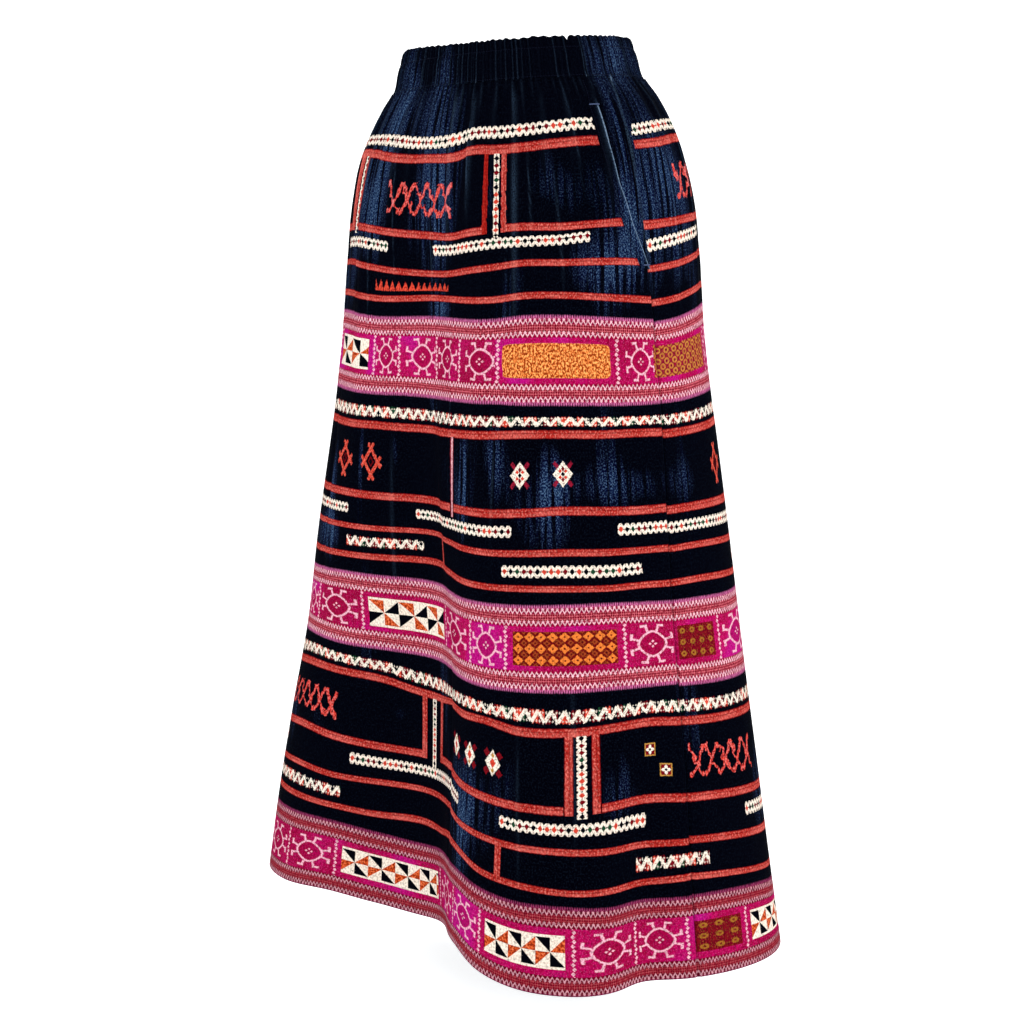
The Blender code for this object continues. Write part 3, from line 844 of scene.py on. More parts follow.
def on_magenta(name, violet=0.8):
    """Magenta ground that shades from crimson to violet, with fine pale flecks."""
    drawing = Print(name, CRIMSON)
    mottle = drawing.noise(240.0, 280.0, detail=2.0, seed=5.0)
    broad = drawing.noise(14.0, 10.0, detail=1.0, seed=9.0)
    drawing.paint((mottle * 1.3 + broad * 1.5 + violet * 0.5).join("ADD", -1.30, clamp=True), MAGENTA)
    drawing.paint(broad.above(0.60, 0.14) * violet, VIOLET)
    flecks = drawing.noise(800.0, 800.0, detail=0.0, seed=3.0).above(0.70, 0.1)
    drawing.paint(flecks * 0.35, dye(214, 86, 152))
    return drawing


def paint_ragged(drawing, mask, ink, seed=0.0):
    """Ink with small breaks in it, as printed on coarse cloth."""
    breaks = drawing.noise(620.0, 620.0, detail=1.0, seed=seed).above(0.36, 0.14)
    drawing.paint(mask * (breaks * 0.75 + 0.25), ink)


def line_print(name, red, salmon, pale):
    """A line sewn or printed in two tones: redder and edged dark above, salmon and mottled below."""
    drawing = Print(name)
    rough = drawing.noise(240.0, 240.0, detail=1.0, seed=2.0) - 0.5
    y = drawing.y + rough * 0.9
    across = abs(y)
    mottle = drawing.noise(480.0, 420.0, detail=1.0, seed=4.0)
    broad = drawing.noise(26.0, 30.0, detail=1.0, seed=7.0)
    body = across.below(3.5, 0.7)
    drawing.paint(across.below(4.3, 0.5), DEEP_RED)
    drawing.paint(body, red)
    drawing.paint(body * (mottle * 1.5 + broad * 2.2 - y * 0.10).join("ADD", -1.50, clamp=True), salmon)
    drawing.paint(body * mottle.above(0.60, 0.16) * 0.55, pale)
    drawing.paint(abs(y - 0.9).below(0.4, 0.6) * 0.7, DEEP_RED)
    # Painted highlight: the line is paler where it lies on the crests of the folds
    drawing.paint(drawing.wear_and_highlight * body * 0.5, pale)
    return drawing.finish()


FLOWER_PITCH = 6.6


def flower_strip_print():
    """A cream strip with a row of small coloured diamonds, and dark nicks along both edges."""
    drawing = Print("White flower strip print")
    rough = drawing.noise(420.0, 420.0, detail=1.0, seed=2.0) - 0.5
    cell = (drawing.x * (1.0 / FLOWER_PITCH)).floor()
    across, up = abs(drawing.x.within(FLOWER_PITCH) + rough * 1.0), abs(drawing.y + rough * 1.2)
    apart = FLOWER_PITCH / 2 - across
    strip = (up + rough * 1.2 + drawing.x.zigzag(FLOWER_PITCH) * 0.7).below(5.7, 0.5)
    drawing.paint(strip, dye(196, 170, 160))
    paint_ragged(drawing, strip, CREAM, seed=5.0)
    nicks = (apart * 1.1 + abs(up - 5.2)).below(2.0, 0.5).most((apart * 1.2 + up).below(1.0, 0.6))
    drawing.paint(nicks, BLACK)
    drawing.paint((across + abs(up - 4.6)).below(0.7, 0.6) * 0.7, DARK_RED)
    ink = drawing.choice(drawing.chance(cell, cell * 0.5),
                         [DARK_RED, BLACK, RED, DARK_RED, BLACK, GREEN, RED, DARK_RED, RED, BLACK])
    drawing.paint((across * 1.05 + up * 0.9 + rough * 0.8).below(2.7, 0.5), ink)
    return drawing.finish()


def triangle_strip_print():
    """A thick lumpy cream zigzag between dark red and black triangles."""
    drawing = Print("White triangle strip print")
    pitch = 12.7
    rough = drawing.noise(360.0, 360.0, detail=1.0, seed=7.0) - 0.5
    x, y = drawing.x + rough * 2.8, drawing.y + rough * 3.0
    zigzag = x.zigzag(pitch) * 9.0 - 4.5
    half = (drawing.x * (2.0 / pitch)).floor()
    side = (y - zigzag).above(0.0, 0.01)
    inside = (abs(y) + drawing.x.zigzag(pitch / 4.0) * 1.1).below(6.2, 0.5)
    ink = drawing.choice(drawing.chance(half, side * 3.0 + half * 0.3),
                         [DARK_RED, BLACK, RED, DARK_RED, BLACK, DARK_RED, RED, GREEN])
    drawing.paint(inside, ink)
    paint_ragged(drawing, abs(y - zigzag).below(2.9, 0.8) * inside, CREAM, seed=5.0)
    notches = (abs(drawing.x.within(pitch / 2.0)) * 1.3 + abs(abs(y) - 5.8)).below(2.0, 0.5) * inside
    drawing.paint(notches * 0.9, BLACK)
    dots = (abs(drawing.x.within(pitch / 4.0)) + abs(abs(y) - 3.6)).below(1.1, 0.5) * inside
    drawing.paint(dots * 0.7, CREAM)
    return drawing.finish()


def border_print(name, ground, fringe, pink, net):
    """The band's edge: y runs inwards from the band's outer edge.

    Outside in: a fringe of short dashes, a pink zigzag, a fine net over dark red, and a second zigzag.
    """
    drawing = Print(name)
    pitch = 4.6
    rough = drawing.noise(420.0, 420.0, detail=1.0, seed=12.0) - 0.5
    mottle = drawing.noise(260.0, 300.0, detail=1.0, seed=5.0)
    broad = drawing.noise(30.0, 60.0, detail=1.0, seed=15.0)
    x, y = drawing.x + rough * 0.8, drawing.y + rough * 0.9
    drawing.paint(y.above(3.4, 3.0) * (mottle * 0.6 + 0.6), ground)
    dashes = abs(x.within(pitch / 2)).below(0.70, 0.6) * y.above(1.4, 1.6) * y.below(4.6, 0.8)
    drawing.paint(dashes * (mottle * 1.2 + 0.25).least(0.95), fringe)
    drawing.paint(y.above(9.6, 0.8), net)
    dark = (abs(x.within(pitch / 2)) * 1.05 + abs((y - 9.6).within(2.5))).below(1.22, 0.5)
    drawing.paint(y.above(9.6, 0.8) * dark.most(mottle.below(0.44, 0.12) * 0.7), dye(116, 4, 28))
    drawing.paint(y.above(17.0, 0.8), ground)
    for middle, tall in ((7.4, 1.9), (18.6, 1.8)):
        wave = abs(y - middle - (x.zigzag(pitch) * 2.0 - 1.0) * tall)
        knots = (abs(x.within(pitch)) + abs(y - middle + tall)).below(1.5, 0.6)
        drawing.paint((wave * 0.7).most(knots).below(1.0, 0.6) * 0.3, dye(84, 6, 34))
        inked = (mottle * 1.9 + broad * 0.8 - 0.42).least(0.95)
        drawing.paint(wave.below(0.98, 0.7).most(knots) * inked, pink)
    return drawing.finish()


STAR_CELL = 45.0           # a star's cell is this wide on the map, however wide it is on the cloth


def star_print(name, violet):
    """A ringed star with eight hooked arms."""
    drawing = on_magenta(name, violet)
    radius, rounding = 12.0, 1.55
    rough = drawing.noise(420.0, 420.0, detail=1.0, seed=12.0) - 0.5
    across, up = abs(drawing.x + rough * 1.0), abs(drawing.y + rough * 1.0)
    far, near = across.most(up), across.least(up)
    reach = (across.power(rounding) + up.power(rounding)).power(1.0 / rounding)
    drawing.paint(reach.below(radius - 1.0, 0.8) * 0.45, CRIMSON)
    ring = abs(reach - radius).below(1.0, 0.6)
    arm = abs(near - 4.0 - (far - radius) * 0.30).below(1.0, 0.6)
    arm = arm * far.above(radius - 1.6) * far.below(17.4)
    hook = abs(far + near * 0.08 - 17.9).below(1.1, 0.6) * near.above(4.2) * near.below(10.2)
    paint_ragged(drawing, ring.most(arm).most(hook), PALE_PINK, seed=6.0)
    petals = (abs(far - 2.5) + near * 1.1).below(1.3, 0.6)
    paint_ragged(drawing, petals, PALE_PINK, seed=6.0)
    return drawing.finish()


ROPE_DOT = 4.3


def rope_print():
    """A column of small dots that step from side to side."""
    drawing = on_magenta("Rope line print")
    step = (drawing.y * (0.5 / ROPE_DOT)).fraction().above(0.5, 0.01) * 1.2 - 0.6
    dot = abs(drawing.x + step) + abs(drawing.y.within(ROPE_DOT))
    paint_ragged(drawing, dot.below(2.1, 0.6), PALE_PINK, seed=2.0)
    return drawing.finish()


WHEEL_CELL = 20.0          # one pinwheel's width on the map
WHEEL_HALF_HEIGHT = 13.4


def pinwheel_print(name, upright, level):
    """White patch of pinwheels. Two inks make each wheel."""
    drawing = Print(name, CREAM)
    x, y = drawing.x.within(WHEEL_CELL), drawing.y * (WHEEL_CELL / 2 / WHEEL_HALF_HEIGHT)
    across, up = abs(x), abs(y)
    stains = drawing.noise(520.0, 520.0, detail=1.0, seed=21.0).below(0.44, 0.12)
    drawing.paint(stains * 0.5, dye(206, 176, 158))
    inside = up.below(WHEEL_CELL / 2, 0.3)
    turned = (x * y).above(0.0, 0.01)
    steep = (up - across).above(0.0, 0.35)
    tall = (1.0 - turned) * steep * inside
    flat = turned * (1.0 - steep) * inside
    fleck = drawing.noise(420.0, 420.0, detail=1.0, seed=9.0)
    for mask, ink in ((tall, upright), (flat, level)):
        drawing.paint(mask, ink)
        if ink is not BLACK:
            drawing.paint(mask * fleck.above(0.56, 0.08) * 0.75, DEEP_RED)
            drawing.paint(mask * fleck.below(0.40, 0.08) * 0.5, dye(246, 142, 96))
    return drawing.finish()


BLOCK_CELL = 10.0          # one flower's or gold block's width on the map
FLOWER_ROW = 10.8          # and how far apart the rows of flowers are


def flower_block_print(name, ground, ink, petal, dull, rings=False):
    """Block with rows of little gold flowers or rings, and duller ones between."""
    drawing = Print(name, ground)
    rough = drawing.noise(460.0, 460.0, detail=1.0, seed=2.0) - 0.5
    drawing.paint(rough.below(-0.08, 0.1) * 0.6, dye(64, 4, 12))
    specks = drawing.noise(620.0, 620.0, detail=0.0, seed=15.0).above(0.66, 0.06)
    drawing.paint(specks * 0.5, dye(150, 84, 34))
    half_cell, half_row = BLOCK_CELL / 2, FLOWER_ROW / 2
    for shift, lift, size, colour in ((0.0, 0.0, petal, ink), (half_cell, half_row, petal * 0.62, dull)):
        x = (drawing.x + shift).within(BLOCK_CELL)
        y = (drawing.y + half_row + lift).within(FLOWER_ROW)
        across, up = abs(x), abs(y)
        if rings:
            middle = (x * x + y * y).power(0.5) + rough * 1.2
            drawing.paint(abs(middle - petal * 0.6).below(0.85, 0.6), colour)
            continue
        diamond = across + up + rough * 2.0
        drawing.paint(diamond.below(size, 0.6) * across.least(up).below(size * 0.44, 0.6), colour)
        drawing.paint(diamond.below(1.1, 0.6), dye(84, 10, 14))
    return drawing.finish()


def gold_block_print():
    """A block of gold specks with rounded corners."""
    drawing = on_magenta("Gold speckle print")
    rough = drawing.noise(420.0, 420.0, detail=1.0, seed=26.0) - 0.5
    across, up = abs(drawing.x * (2.0 / BLOCK_CELL) - 1.0), abs(drawing.y) * 0.0645 + rough * 0.03
    inside = (across.power(16.0) + up.power(9.0)).below(0.95, 0.25)
    drawing.paint(inside, dye(222, 118, 54))
    speckle = drawing.noise(420.0, 420.0, detail=1.0, seed=4.0)
    drawing.paint(inside * speckle.below(0.45, 0.10) * 0.90, dye(128, 34, 8))
    drawing.paint(inside * speckle.above(0.58, 0.10) * 0.8, dye(250, 178, 100))
    return drawing.finish()


CROSS_PITCH = 19.0


def cross_chain_print():
    """A blotchy red chain of crossed strokes, joined by knots at their tips."""
    drawing = Print("Crossed stroke print")
    rough = drawing.noise(120.0, 120.0, detail=1.0, seed=2.0) - 0.5
    fine = drawing.noise(460.0, 460.0, detail=1.0, seed=12.0) - 0.5
    cell = (drawing.x * (1.0 / CROSS_PITCH)).floor()
    luck, other = drawing.chance(cell, cell * 0.3), drawing.chance(cell, cell * 0.7 + 5.0)
    x = drawing.x + rough * 9.0 + fine * 1.4
    y = drawing.y + rough * 6.0 + fine * 1.4
    across = abs(x.within(CROSS_PITCH))
    crossing = y + luck * 5.0 + 1.5
    spread = abs(crossing) * 0.47 + (0.0 - crossing).most(0.0) * 0.22
    strokes = abs(across - spread).below(1.5 + other * 0.6, 0.8)
    from_tip = abs((x + CROSS_PITCH / 2).within(CROSS_PITCH))
    tips = (from_tip * 0.7 + abs(y - 12.0 - other * 2.0)).below(2.8, 0.8)
    feet = (abs(across - 7.4) + abs(y + 13.0)).below(2.6, 0.8)
    mask = strokes.most(tips * 0.9).most(feet * luck) * abs(y + other * 2.0).below(15.5, 0.8)
    breaks = drawing.noise(300.0, 300.0, detail=1.0, seed=8.0)
    drawing.paint(mask, dye(146, 16, 20))
    drawing.paint(mask * breaks.above(0.44, 0.16), dye(206, 58, 46))
    specks = drawing.noise(480.0, 480.0, detail=0.0, seed=6.0).above(0.55, 0.12)
    drawing.paint(mask * specks * 0.7, dye(222, 118, 112))
    # Painted highlight: the strokes are paler where they lie on the crests of the folds
    drawing.paint(mask * drawing.wear_and_highlight * 0.6, dye(214, 150, 156))
    return drawing.finish()


def red_triangles_print():
    """A row of knobbly triangles on a ragged base."""
    drawing = Print("Red triangle row print")
    rough = drawing.noise(360.0, 360.0, detail=1.0, seed=2.0) - 0.5
    x, y = drawing.x + rough * 2.0, drawing.y + rough * 2.6
    steps = (drawing.y * 0.45).fraction() * 0.8
    triangle = (y - x.zigzag(8.6) * 12.4 + 6.0 + steps).below(0.0, 0.9)
    mask = triangle * (y + drawing.x.zigzag(2.9) * 1.2).above(-6.6, 0.8)
    drawing.paint(mask, dye(140, 24, 24))
    breaks = drawing.noise(420.0, 420.0, detail=1.0, seed=3.0)
    drawing.paint(mask * breaks.above(0.40, 0.14), dye(206, 68, 48))
    return drawing.finish()


def crossed_diamond_print():
    """A diamond whose sides run on past its corners."""
    drawing = Print("Crossed diamond print")
    rough = drawing.noise(300.0, 300.0, detail=1.0, seed=12.0) - 0.5
    across, up = abs(drawing.x + rough * 1.6), abs(drawing.y + rough * 1.6) * 0.64
    sides = abs(across + up - 8.6 + rough * 1.8).below(2.0, 0.6)
    beyond = abs(abs(across - up) - 8.6 + rough * 1.8).below(1.9, 0.6) * (across + up).below(15.5, 0.6)
    mask = sides.most(beyond)
    paint_ragged(drawing, mask, RED, seed=5.0)
    specks = drawing.noise(480.0, 480.0, detail=0.0, seed=6.0).above(0.58, 0.1)
    drawing.paint(mask * specks * 0.5, PALE_SALMON)
    drawing.paint(abs(across + up - 3.0).below(0.8, 0.5) * 0.8, DEEP_RED)
    return drawing.finish()


def flower_diamond_print():
    """A cream diamond full of red flowers, with a red leaf at each corner."""
    drawing = Print("Flower diamond print")
    rough = drawing.noise(420.0, 420.0, detail=1.0, seed=12.0) - 0.5
    across, up = abs(drawing.x), abs(drawing.y) * 0.86
    leaf = abs(across - up + rough * 2.0).below(2.5, 0.7) * (across + up).below(19.5, 0.8)
    paint_ragged(drawing, leaf, dye(136, 22, 44), seed=2.0)
    diamond = across + up + rough * 1.4
    paint_ragged(drawing, diamond.below(10.9, 0.5), CREAM, seed=9.0)
    spots = (abs(drawing.x.within(6.0)) + abs(drawing.y.within(6.0)) + rough).below(2.0, 0.5)
    drawing.paint(spots * diamond.below(8.6, 0.4), RED)
    drawing.paint((across + abs(up - 4.4) * 0.8).below(1.9, 0.5), DARK_RED)
    drawing.paint((across + up).below(2.2, 0.4), BLACK)
    return drawing.finish()


def slim_diamond_print():
    """A slim cream diamond with a red heart between two dark red leaves."""
    drawing = Print("Slim diamond print")
    rough = drawing.noise(420.0, 420.0, detail=1.0, seed=22.0) - 0.5
    across, up = abs(drawing.x), abs(drawing.y)
    leaf = (abs(across - 5.4) * 1.1 + abs(up - 8.6) * 0.7 + rough * 2.0).below(3.0, 0.7)
    drawing.paint(leaf, DARK_RED)
    diamond = across + up * 0.52 + rough
    paint_ragged(drawing, diamond.below(6.6, 0.5), CREAM, seed=9.0)
    drawing.paint(diamond.below(2.6, 0.5), RED)
    drawing.paint((across + abs(up - 7.2) * 0.6).below(1.5, 0.5), OCHRE)
    return drawing.finish()


def flower_square_print():
    """A small ochre square with a cream four-petalled flower on dark red."""
    drawing = Print("Flower square print")
    rough = drawing.noise(420.0, 420.0, detail=1.0, seed=32.0) - 0.5
    across, up = abs(drawing.x), abs(drawing.y)
    square = across.most(up) + rough
    drawing.paint(square.below(6.2, 0.5), OCHRE)
    drawing.paint(square.below(5.0, 0.4), DARK_RED)
    drawing.paint((across + up).below(5.0, 0.5) * across.least(up).below(1.5, 0.4), CREAM)
    drawing.paint((across + up).below(1.6, 0.4), BLACK)
    return drawing.finish()


def thin_divider_print():
    """A thin pale bar edged in dull red."""
    drawing = Print("Pale divider print")
    rough = drawing.noise(260.0, 260.0, detail=1.0, seed=42.0) - 0.5
    across = abs(drawing.y + rough * 1.2)
    drawing.paint(across.below(2.3, 0.5), dye(140, 44, 54))
    paint_ragged(drawing, across.below(1.2, 0.5), dye(222, 168, 174), seed=7.0)
    return drawing.finish()


def reverse_print():
    """The inside of the cloth, where the dye is paler and the print hardly shows."""
    drawing = Print("Cloth inside")
    drawing.paint(0.55, dye(26, 36, 62))
    return drawing.finish()


PRINTS = {
    "ground": INDIGO_COTTON,
    "inside": reverse_print(),
    "line": line_print("Salmon line print", RED_ORANGE, SALMON, PALE_SALMON),
    "red bar": line_print("Deep red bar print", dye(138, 14, 10), dye(158, 30, 22), dye(170, 52, 40)),
    "flowers": flower_strip_print(),
    "triangles": triangle_strip_print(),
    "border": border_print("Band border print", CRIMSON, dye(206, 104, 156), dye(240, 186, 196),
                           dye(200, 92, 104)),
    "hem border": border_print("Hem border print", dye(104, 4, 30), dye(150, 54, 96), dye(206, 146, 156),
                               dye(162, 62, 70)),
    "magenta": on_magenta("Magenta print").finish(),
    "rope": rope_print(),
    "star": star_print("Violet star print", 0.8),
    "crimson star": star_print("Crimson star print", 0.1),
    "pinwheels": pinwheel_print("Pinwheel print", BLACK, ORANGE),
    "turned pinwheels": pinwheel_print("Turned pinwheel print", ORANGE, BLACK),
    "bright flowers": flower_block_print("Gold flower print", dye(106, 10, 14), GOLD, 4.6,
                                         dye(148, 60, 26)),
    "ring flowers": flower_block_print("Gold ring print", dye(136, 14, 46), dye(184, 120, 52), 3.8,
                                       dye(176, 108, 48), rings=True),
    "dull flowers": flower_block_print("Dull gold flower print", dye(112, 6, 26), dye(150, 96, 34), 3.0,
                                       dye(116, 14, 24), rings=True),
    "gold block": gold_block_print(),
    "crosses": cross_chain_print(),
    "red triangles": red_triangles_print(),
    "crossed diamond": crossed_diamond_print(),
    "flower diamond": flower_diamond_print(),
    "slim diamond": slim_diamond_print(),
    "flower square": flower_square_print(),
    "thin divider": thin_divider_print(),
}
KINDS = list(PRINTS)

# Each repeat of the print hangs from its first salmon line. What follows is measured down from it.
REPEATS = (0.105, 0.379, 0.654)
STRIP, FIELD, SHORT_STRIP, LOWER_STRIP = -0.014, 0.038, 0.090, 0.1265
LINE_THICKNESS = 8.5       # as a line is drawn on the map, in mm
LINES = ((0.000, LINE_THICKNESS), (0.073, LINE_THICKNESS), (0.110, 6.6), (0.1425, 7.0))   # place, thickness
BAND_TOP, BAND_HEIGHT = 0.1595, 0.084
HEM_BORDER_DROP = 0.0036   # the last band's lower border runs off the cloth at the hem by this much
BORDER_HEIGHT = 0.0214
# Half the height of a block in a band, and how far it stays inside its cell at either end
PATCH_HALF = 0.0158
PATCH_INSET = 0.0080
PATCH_INSETS = {"gold block": (0.0045, 0.0072)}
SEAM_INSET = 0.001         # of a block that starts at a side seam, in turns
NEAR_SEAM = 0.005          # a cell starts at a side seam if it is no further off, in turns
ROPE_WIDTH = 0.0050
STRIP_HEIGHT = 0.0112
TRIANGLE_STRIP_HEIGHT = 0.0126
TRIANGLE_ROW_HEIGHT = 0.0155
LINE_MARGIN = 0.0014
OVERLAP = 0.03             # what runs all round is laid this much further than each panel's turns

# The frames between the first two lines are parted by a white strip between two salmon bars: the
# turn where each stands, how wide they are against the widest, and where the strip ends
FRAME_TOP, FRAME_FOOT = 0.0035, 0.0042   # the bars start and end this far below the two lines' middles
FRAME_LEVEL = 0.04                       # their widths are measured here
DIVIDER_COLUMNS = ("left_bar", "strip", "right_bar", "size", "strip_end")
RED_BARS = (0.7075,)       # turns of the bars that are deep red
DIVIDERS = (
    ((0.3095, 0.3270, 0.3445, 1.00, 0.0805), (0.7075, 0.7300, 0.7440, 0.52, 0.0850),
     (1.2825, 1.3000, 1.3175, 1.00, 0.0805), (1.6460, 1.6600, 1.6740, 0.80, 0.0805)),
    (),
    ((0.0840, 0.1000, 0.1160, 0.90, 0.0805), (0.5110, 0.5335, 0.5580, 0.72, 0.0850),
     (0.8415, 0.8570, 0.8745, 0.95, 0.0805), (1.2025, 1.2200, 1.2375, 1.00, 0.0805),
     (1.5360, 1.5500, 1.5640, 0.80, 0.0805), (1.8125, 1.8300, 1.8475, 1.00, 0.0805)),
)
DIVIDER_BAR, DIVIDER_STRIP = 0.0108, 0.0105
THIN_BAR = 0.0070
THIN_LINE = 2.6            # a salmon line is drawn so many times thinner as a thin bar
# Thin bars: print, turn, top and foot
THIN_BARS = (
    (),
    (("thin divider", 0.120, 0.0035, 0.0825), ("thin divider", 0.643, 0.0035, 0.0825),
     ("line", 0.591, 0.1128, 0.1395), ("thin divider", 1.250, 0.0035, 0.0825),
     ("thin divider", 1.720, 0.0035, 0.0825)),
    (("line", 0.755, 0.1128, 0.1395), ("line", 1.470, 0.1128, 0.1395)),
)
# Figures' half heights, and their widths on the map in mm: for a chain, the width of one cross
FIGURE_SIZES = {"crosses": (0.0175, CROSS_PITCH), "crossed diamond": (0.0195, 30.0),
                "flower diamond": (0.0165, 30.0), "slim diamond": (0.0165, 17.0),
                "flower square": (0.0075, 13.0)}
SQUARE_DROPS = {0.942: -0.012, 0.963: 0.008}   # squares off the middle: first turn, and how far below
# Figures in the frames: print, first and last turn
FIGURES = (
    (("crosses", 0.075, 0.215), ("crosses", 0.452, 0.625), ("crosses", 1.082, 1.200),
     ("crosses", 1.420, 1.560), ("crosses", 1.780, 1.900)),
    (("crossed diamond", 0.202, 0.248), ("crossed diamond", 0.338, 0.398),
     ("crossed diamond", 0.412, 0.461), ("flower diamond", 0.757, 0.797),
     ("flower diamond", 0.820, 0.860), ("crossed diamond", 1.116, 1.162),
     ("flower diamond", 1.400, 1.440), ("flower diamond", 1.465, 1.505),
     ("crossed diamond", 1.580, 1.626), ("crossed diamond", 1.850, 1.896)),
    (("crosses", 0.231, 0.369), ("slim diamond", 0.640, 0.672), ("slim diamond", 0.682, 0.714),
     ("slim diamond", 0.726, 0.758), ("flower square", 0.942, 0.958), ("flower square", 0.963, 0.981),
     ("crosses", 1.006, 1.132), ("slim diamond", 1.320, 1.350), ("slim diamond", 1.366, 1.396),
     ("flower square", 1.640, 1.656), ("crosses", 1.680, 1.800)),
)
SHORT_STRIPS = (
    ((0.030, 0.200), (0.262, 0.459), (0.5715, 0.891), (0.9945, 1.193), (1.330, 1.550), (1.690, 1.900)),
    ((0.020, 0.140), (0.240, 0.388), (0.516, 0.766), (0.917, 1.215), (1.320, 1.500), (1.620, 1.830)),
    ((0.060, 0.240), (0.395, 0.670), (0.755, 0.944), (1.100, 1.270), (1.400, 1.620), (1.750, 1.930)),
)
LOWER_STRIPS = (
    (("red triangles", 0.110, 0.250), ("red triangles", 0.4305, 0.619), ("red triangles", 1.240, 1.420),
     ("red triangles", 1.700, 1.840)),
    (("flowers", 0.080, 0.220), ("triangles", 0.386, 0.527), ("flowers", 0.752, 0.952),
     ("triangles", 1.180, 1.360), ("flowers", 1.520, 1.700)),
    (("triangles", 0.2135, 0.385), ("triangles", 0.931, 1.028), ("flowers", 1.300, 1.460),
     ("triangles", 1.600, 1.780)),
)
LOWER_STRIP_HEIGHTS = {"red triangles": TRIANGLE_ROW_HEIGHT, "flowers": STRIP_HEIGHT,
                       "triangles": TRIANGLE_STRIP_HEIGHT}
# Cells of the bands: the turn where each starts, its print, and how many wheels or flowers it has
# across, or how far a star stands to the right of its cell's middle, in mm. Each runs on to the next.
STAR, CRIMSON_STAR = "star", "crimson star"
BANDS = (
    ((-0.060, "dull flowers", 8), (0.060, STAR, 0), (0.135, CRIMSON_STAR, 0), (0.205, STAR, 0),
     (0.265, "pinwheels", 1.8), (0.436, CRIMSON_STAR, 0), (0.493, STAR, 4), (0.583, CRIMSON_STAR, 0),
     (0.660, CRIMSON_STAR, 7), (0.739, "gold block", 1), (0.932, STAR, 5.5), (1.000, "ring flowers", 8),
     (1.165, STAR, 0), (1.245, CRIMSON_STAR, 0), (1.320, "pinwheels", 4), (1.475, STAR, 0),
     (1.550, "gold block", 1), (1.730, STAR, 0), (1.805, STAR, 0), (1.885, "dull flowers", 12),
     (2.060, "", 0)),
    ((-0.030, STAR, 0), (0.045, "turned pinwheels", 4), (0.190, STAR, 0), (0.245, STAR, 0),
     (0.308, CRIMSON_STAR, 0), (0.411, "turned pinwheels", 3), (0.583, STAR, 0), (0.695, STAR, 0),
     (0.758, "bright flowers", 9), (0.919, STAR, 0), (1.003, "dull flowers", 4), (1.085, STAR, 0),
     (1.205, CRIMSON_STAR, 0), (1.285, "turned pinwheels", 3), (1.420, STAR, 0), (1.495, STAR, 0),
     (1.570, "bright flowers", 9), (1.715, STAR, 0), (1.785, STAR, 0), (1.850, "gold block", 1),
     (2.030, "", 0)),
    ((-0.020, "dull flowers", 7), (0.080, STAR, 0), (0.155, STAR, 0), (0.232, STAR, 0),
     (0.303, CRIMSON_STAR, 0), (0.386, "pinwheels", 4.15), (0.556, STAR, 0), (0.665, STAR, 0),
     (0.731, "pinwheels", 3), (0.846, STAR, 0), (0.928, STAR, 0), (0.990, "dull flowers", 3),
     (1.080, "pinwheels", 4), (1.240, STAR, 0), (1.315, STAR, 0), (1.390, "bright flowers", 9),
     (1.530, STAR, 0), (1.605, CRIMSON_STAR, 0), (1.680, "pinwheels", 4), (1.835, STAR, 0),
     (1.910, "dull flowers", 8), (2.050, "", 0)),
)

# How far the print wanders down from its level as the cloth sags and bunches: in mm, at these turns
FRONT_TURNS = (0.0, 0.22, 0.30, 0.38, 0.44, 0.50, 0.56, 0.62, 0.68, 0.73, 0.78, 0.84, 0.90, 0.95, 1.0)
FRONT_WAVES = (
    (0.060, (0, 0, 0, 0, 0, 0, 0, 0, 0, 0, 0, 0, 0, 0, 0)),
    (0.091, (0, -4, -6, -5, -3, 1, 3, 1.5, -3.5, -3, -4, -6, -8, -6, -2)),
    (0.105, (0, -5, -7, -4, 1, 4, 5, 6, 0, 1, 0, -2.5, -4, -3.5, -1)),
    (0.178, (0, -2, -4, -2.5, 2, 5.5, 8, 10, 6, 3.5, 2, 3, 1.5, 0, 0)),
    (0.195, (0, -2, -5, -5, -1, 2.5, 4.3, 4.4, 1.2, -1.3, -2, -3, -6, -2, 2.5)),
    (0.215, (0, -2, -4, -1, 3.5, 7, 9, 9, 5.5, 2.5, -1, -0.5, -0.5, 0, 2)),
    (0.248, (0, -3, -4, -2, 1, 1, 0, 0.5, 1.5, 1, -2.5, -2.5, 0, 2.5, 5)),
    (0.348, (0, -2, -2, -1, 0, 0, 1, 1, 1, 1, 2, 2, 3, 4, 4)),
    (0.379, (0, -2, -1, 0, 0, 1, 1, 1, 0, -1, -2.5, -3, -2, -2, -1)),
    (0.452, (0, -1, 0, 0, 1, 1, 1, 1, 1, 1, -1, -4, -3, -2, -2)),
    (0.521, (0, -2, -2, -3, -3, -4, -5, -3, 1, 2, 1, 0, 0, -1, 0)),
    (0.539, (0, 1, -1, -3, -2, -2, -2, -2, -1, -1, -2, -4, -5, -4, -2)),
    (0.622, (0, -6, -6, -3, -2, -1, -1, -2, -1, 0, -1, -3, -5, -5, -4)),
    (0.640, (0, -3, -10, -6, -3, 5, 6, 4, 0, 1, 1, 1, -3, -5, -2)),
    (0.654, (0, -3, -8, -6, -3, 5, 4, -3, -1, -2, 3, 1, -3, -5, -2)),
    (0.727, (0, -6, -11, -5, -2, -2, -6, -10, -5, -2, 0, 0, -4, -6, -3)),
    (0.764, (0, -1, -4, 0, 0, -1, -3, -8, -4, -1, 1, 1, 1, 1, 2)),
    (0.796, (0, -2, -1, 1, 3, 0, -1, -11, -10, 0, 4, 7, 6, 5, 3)),
    (0.814, (0, 0, -1, -1, 4, 7, 1, -6, -9, -3, 1, 1, 3, 3, 3)),
    (SIDE_LENGTH, (0, 0, -2, -6, -1, 3, -3, -11, -15, -5, 1, 2, 0, -1, -1)),
)
BACK_TURNS = (1.0, 1.05, 1.11, 1.17, 1.35, 1.6, 1.8, 2.0)
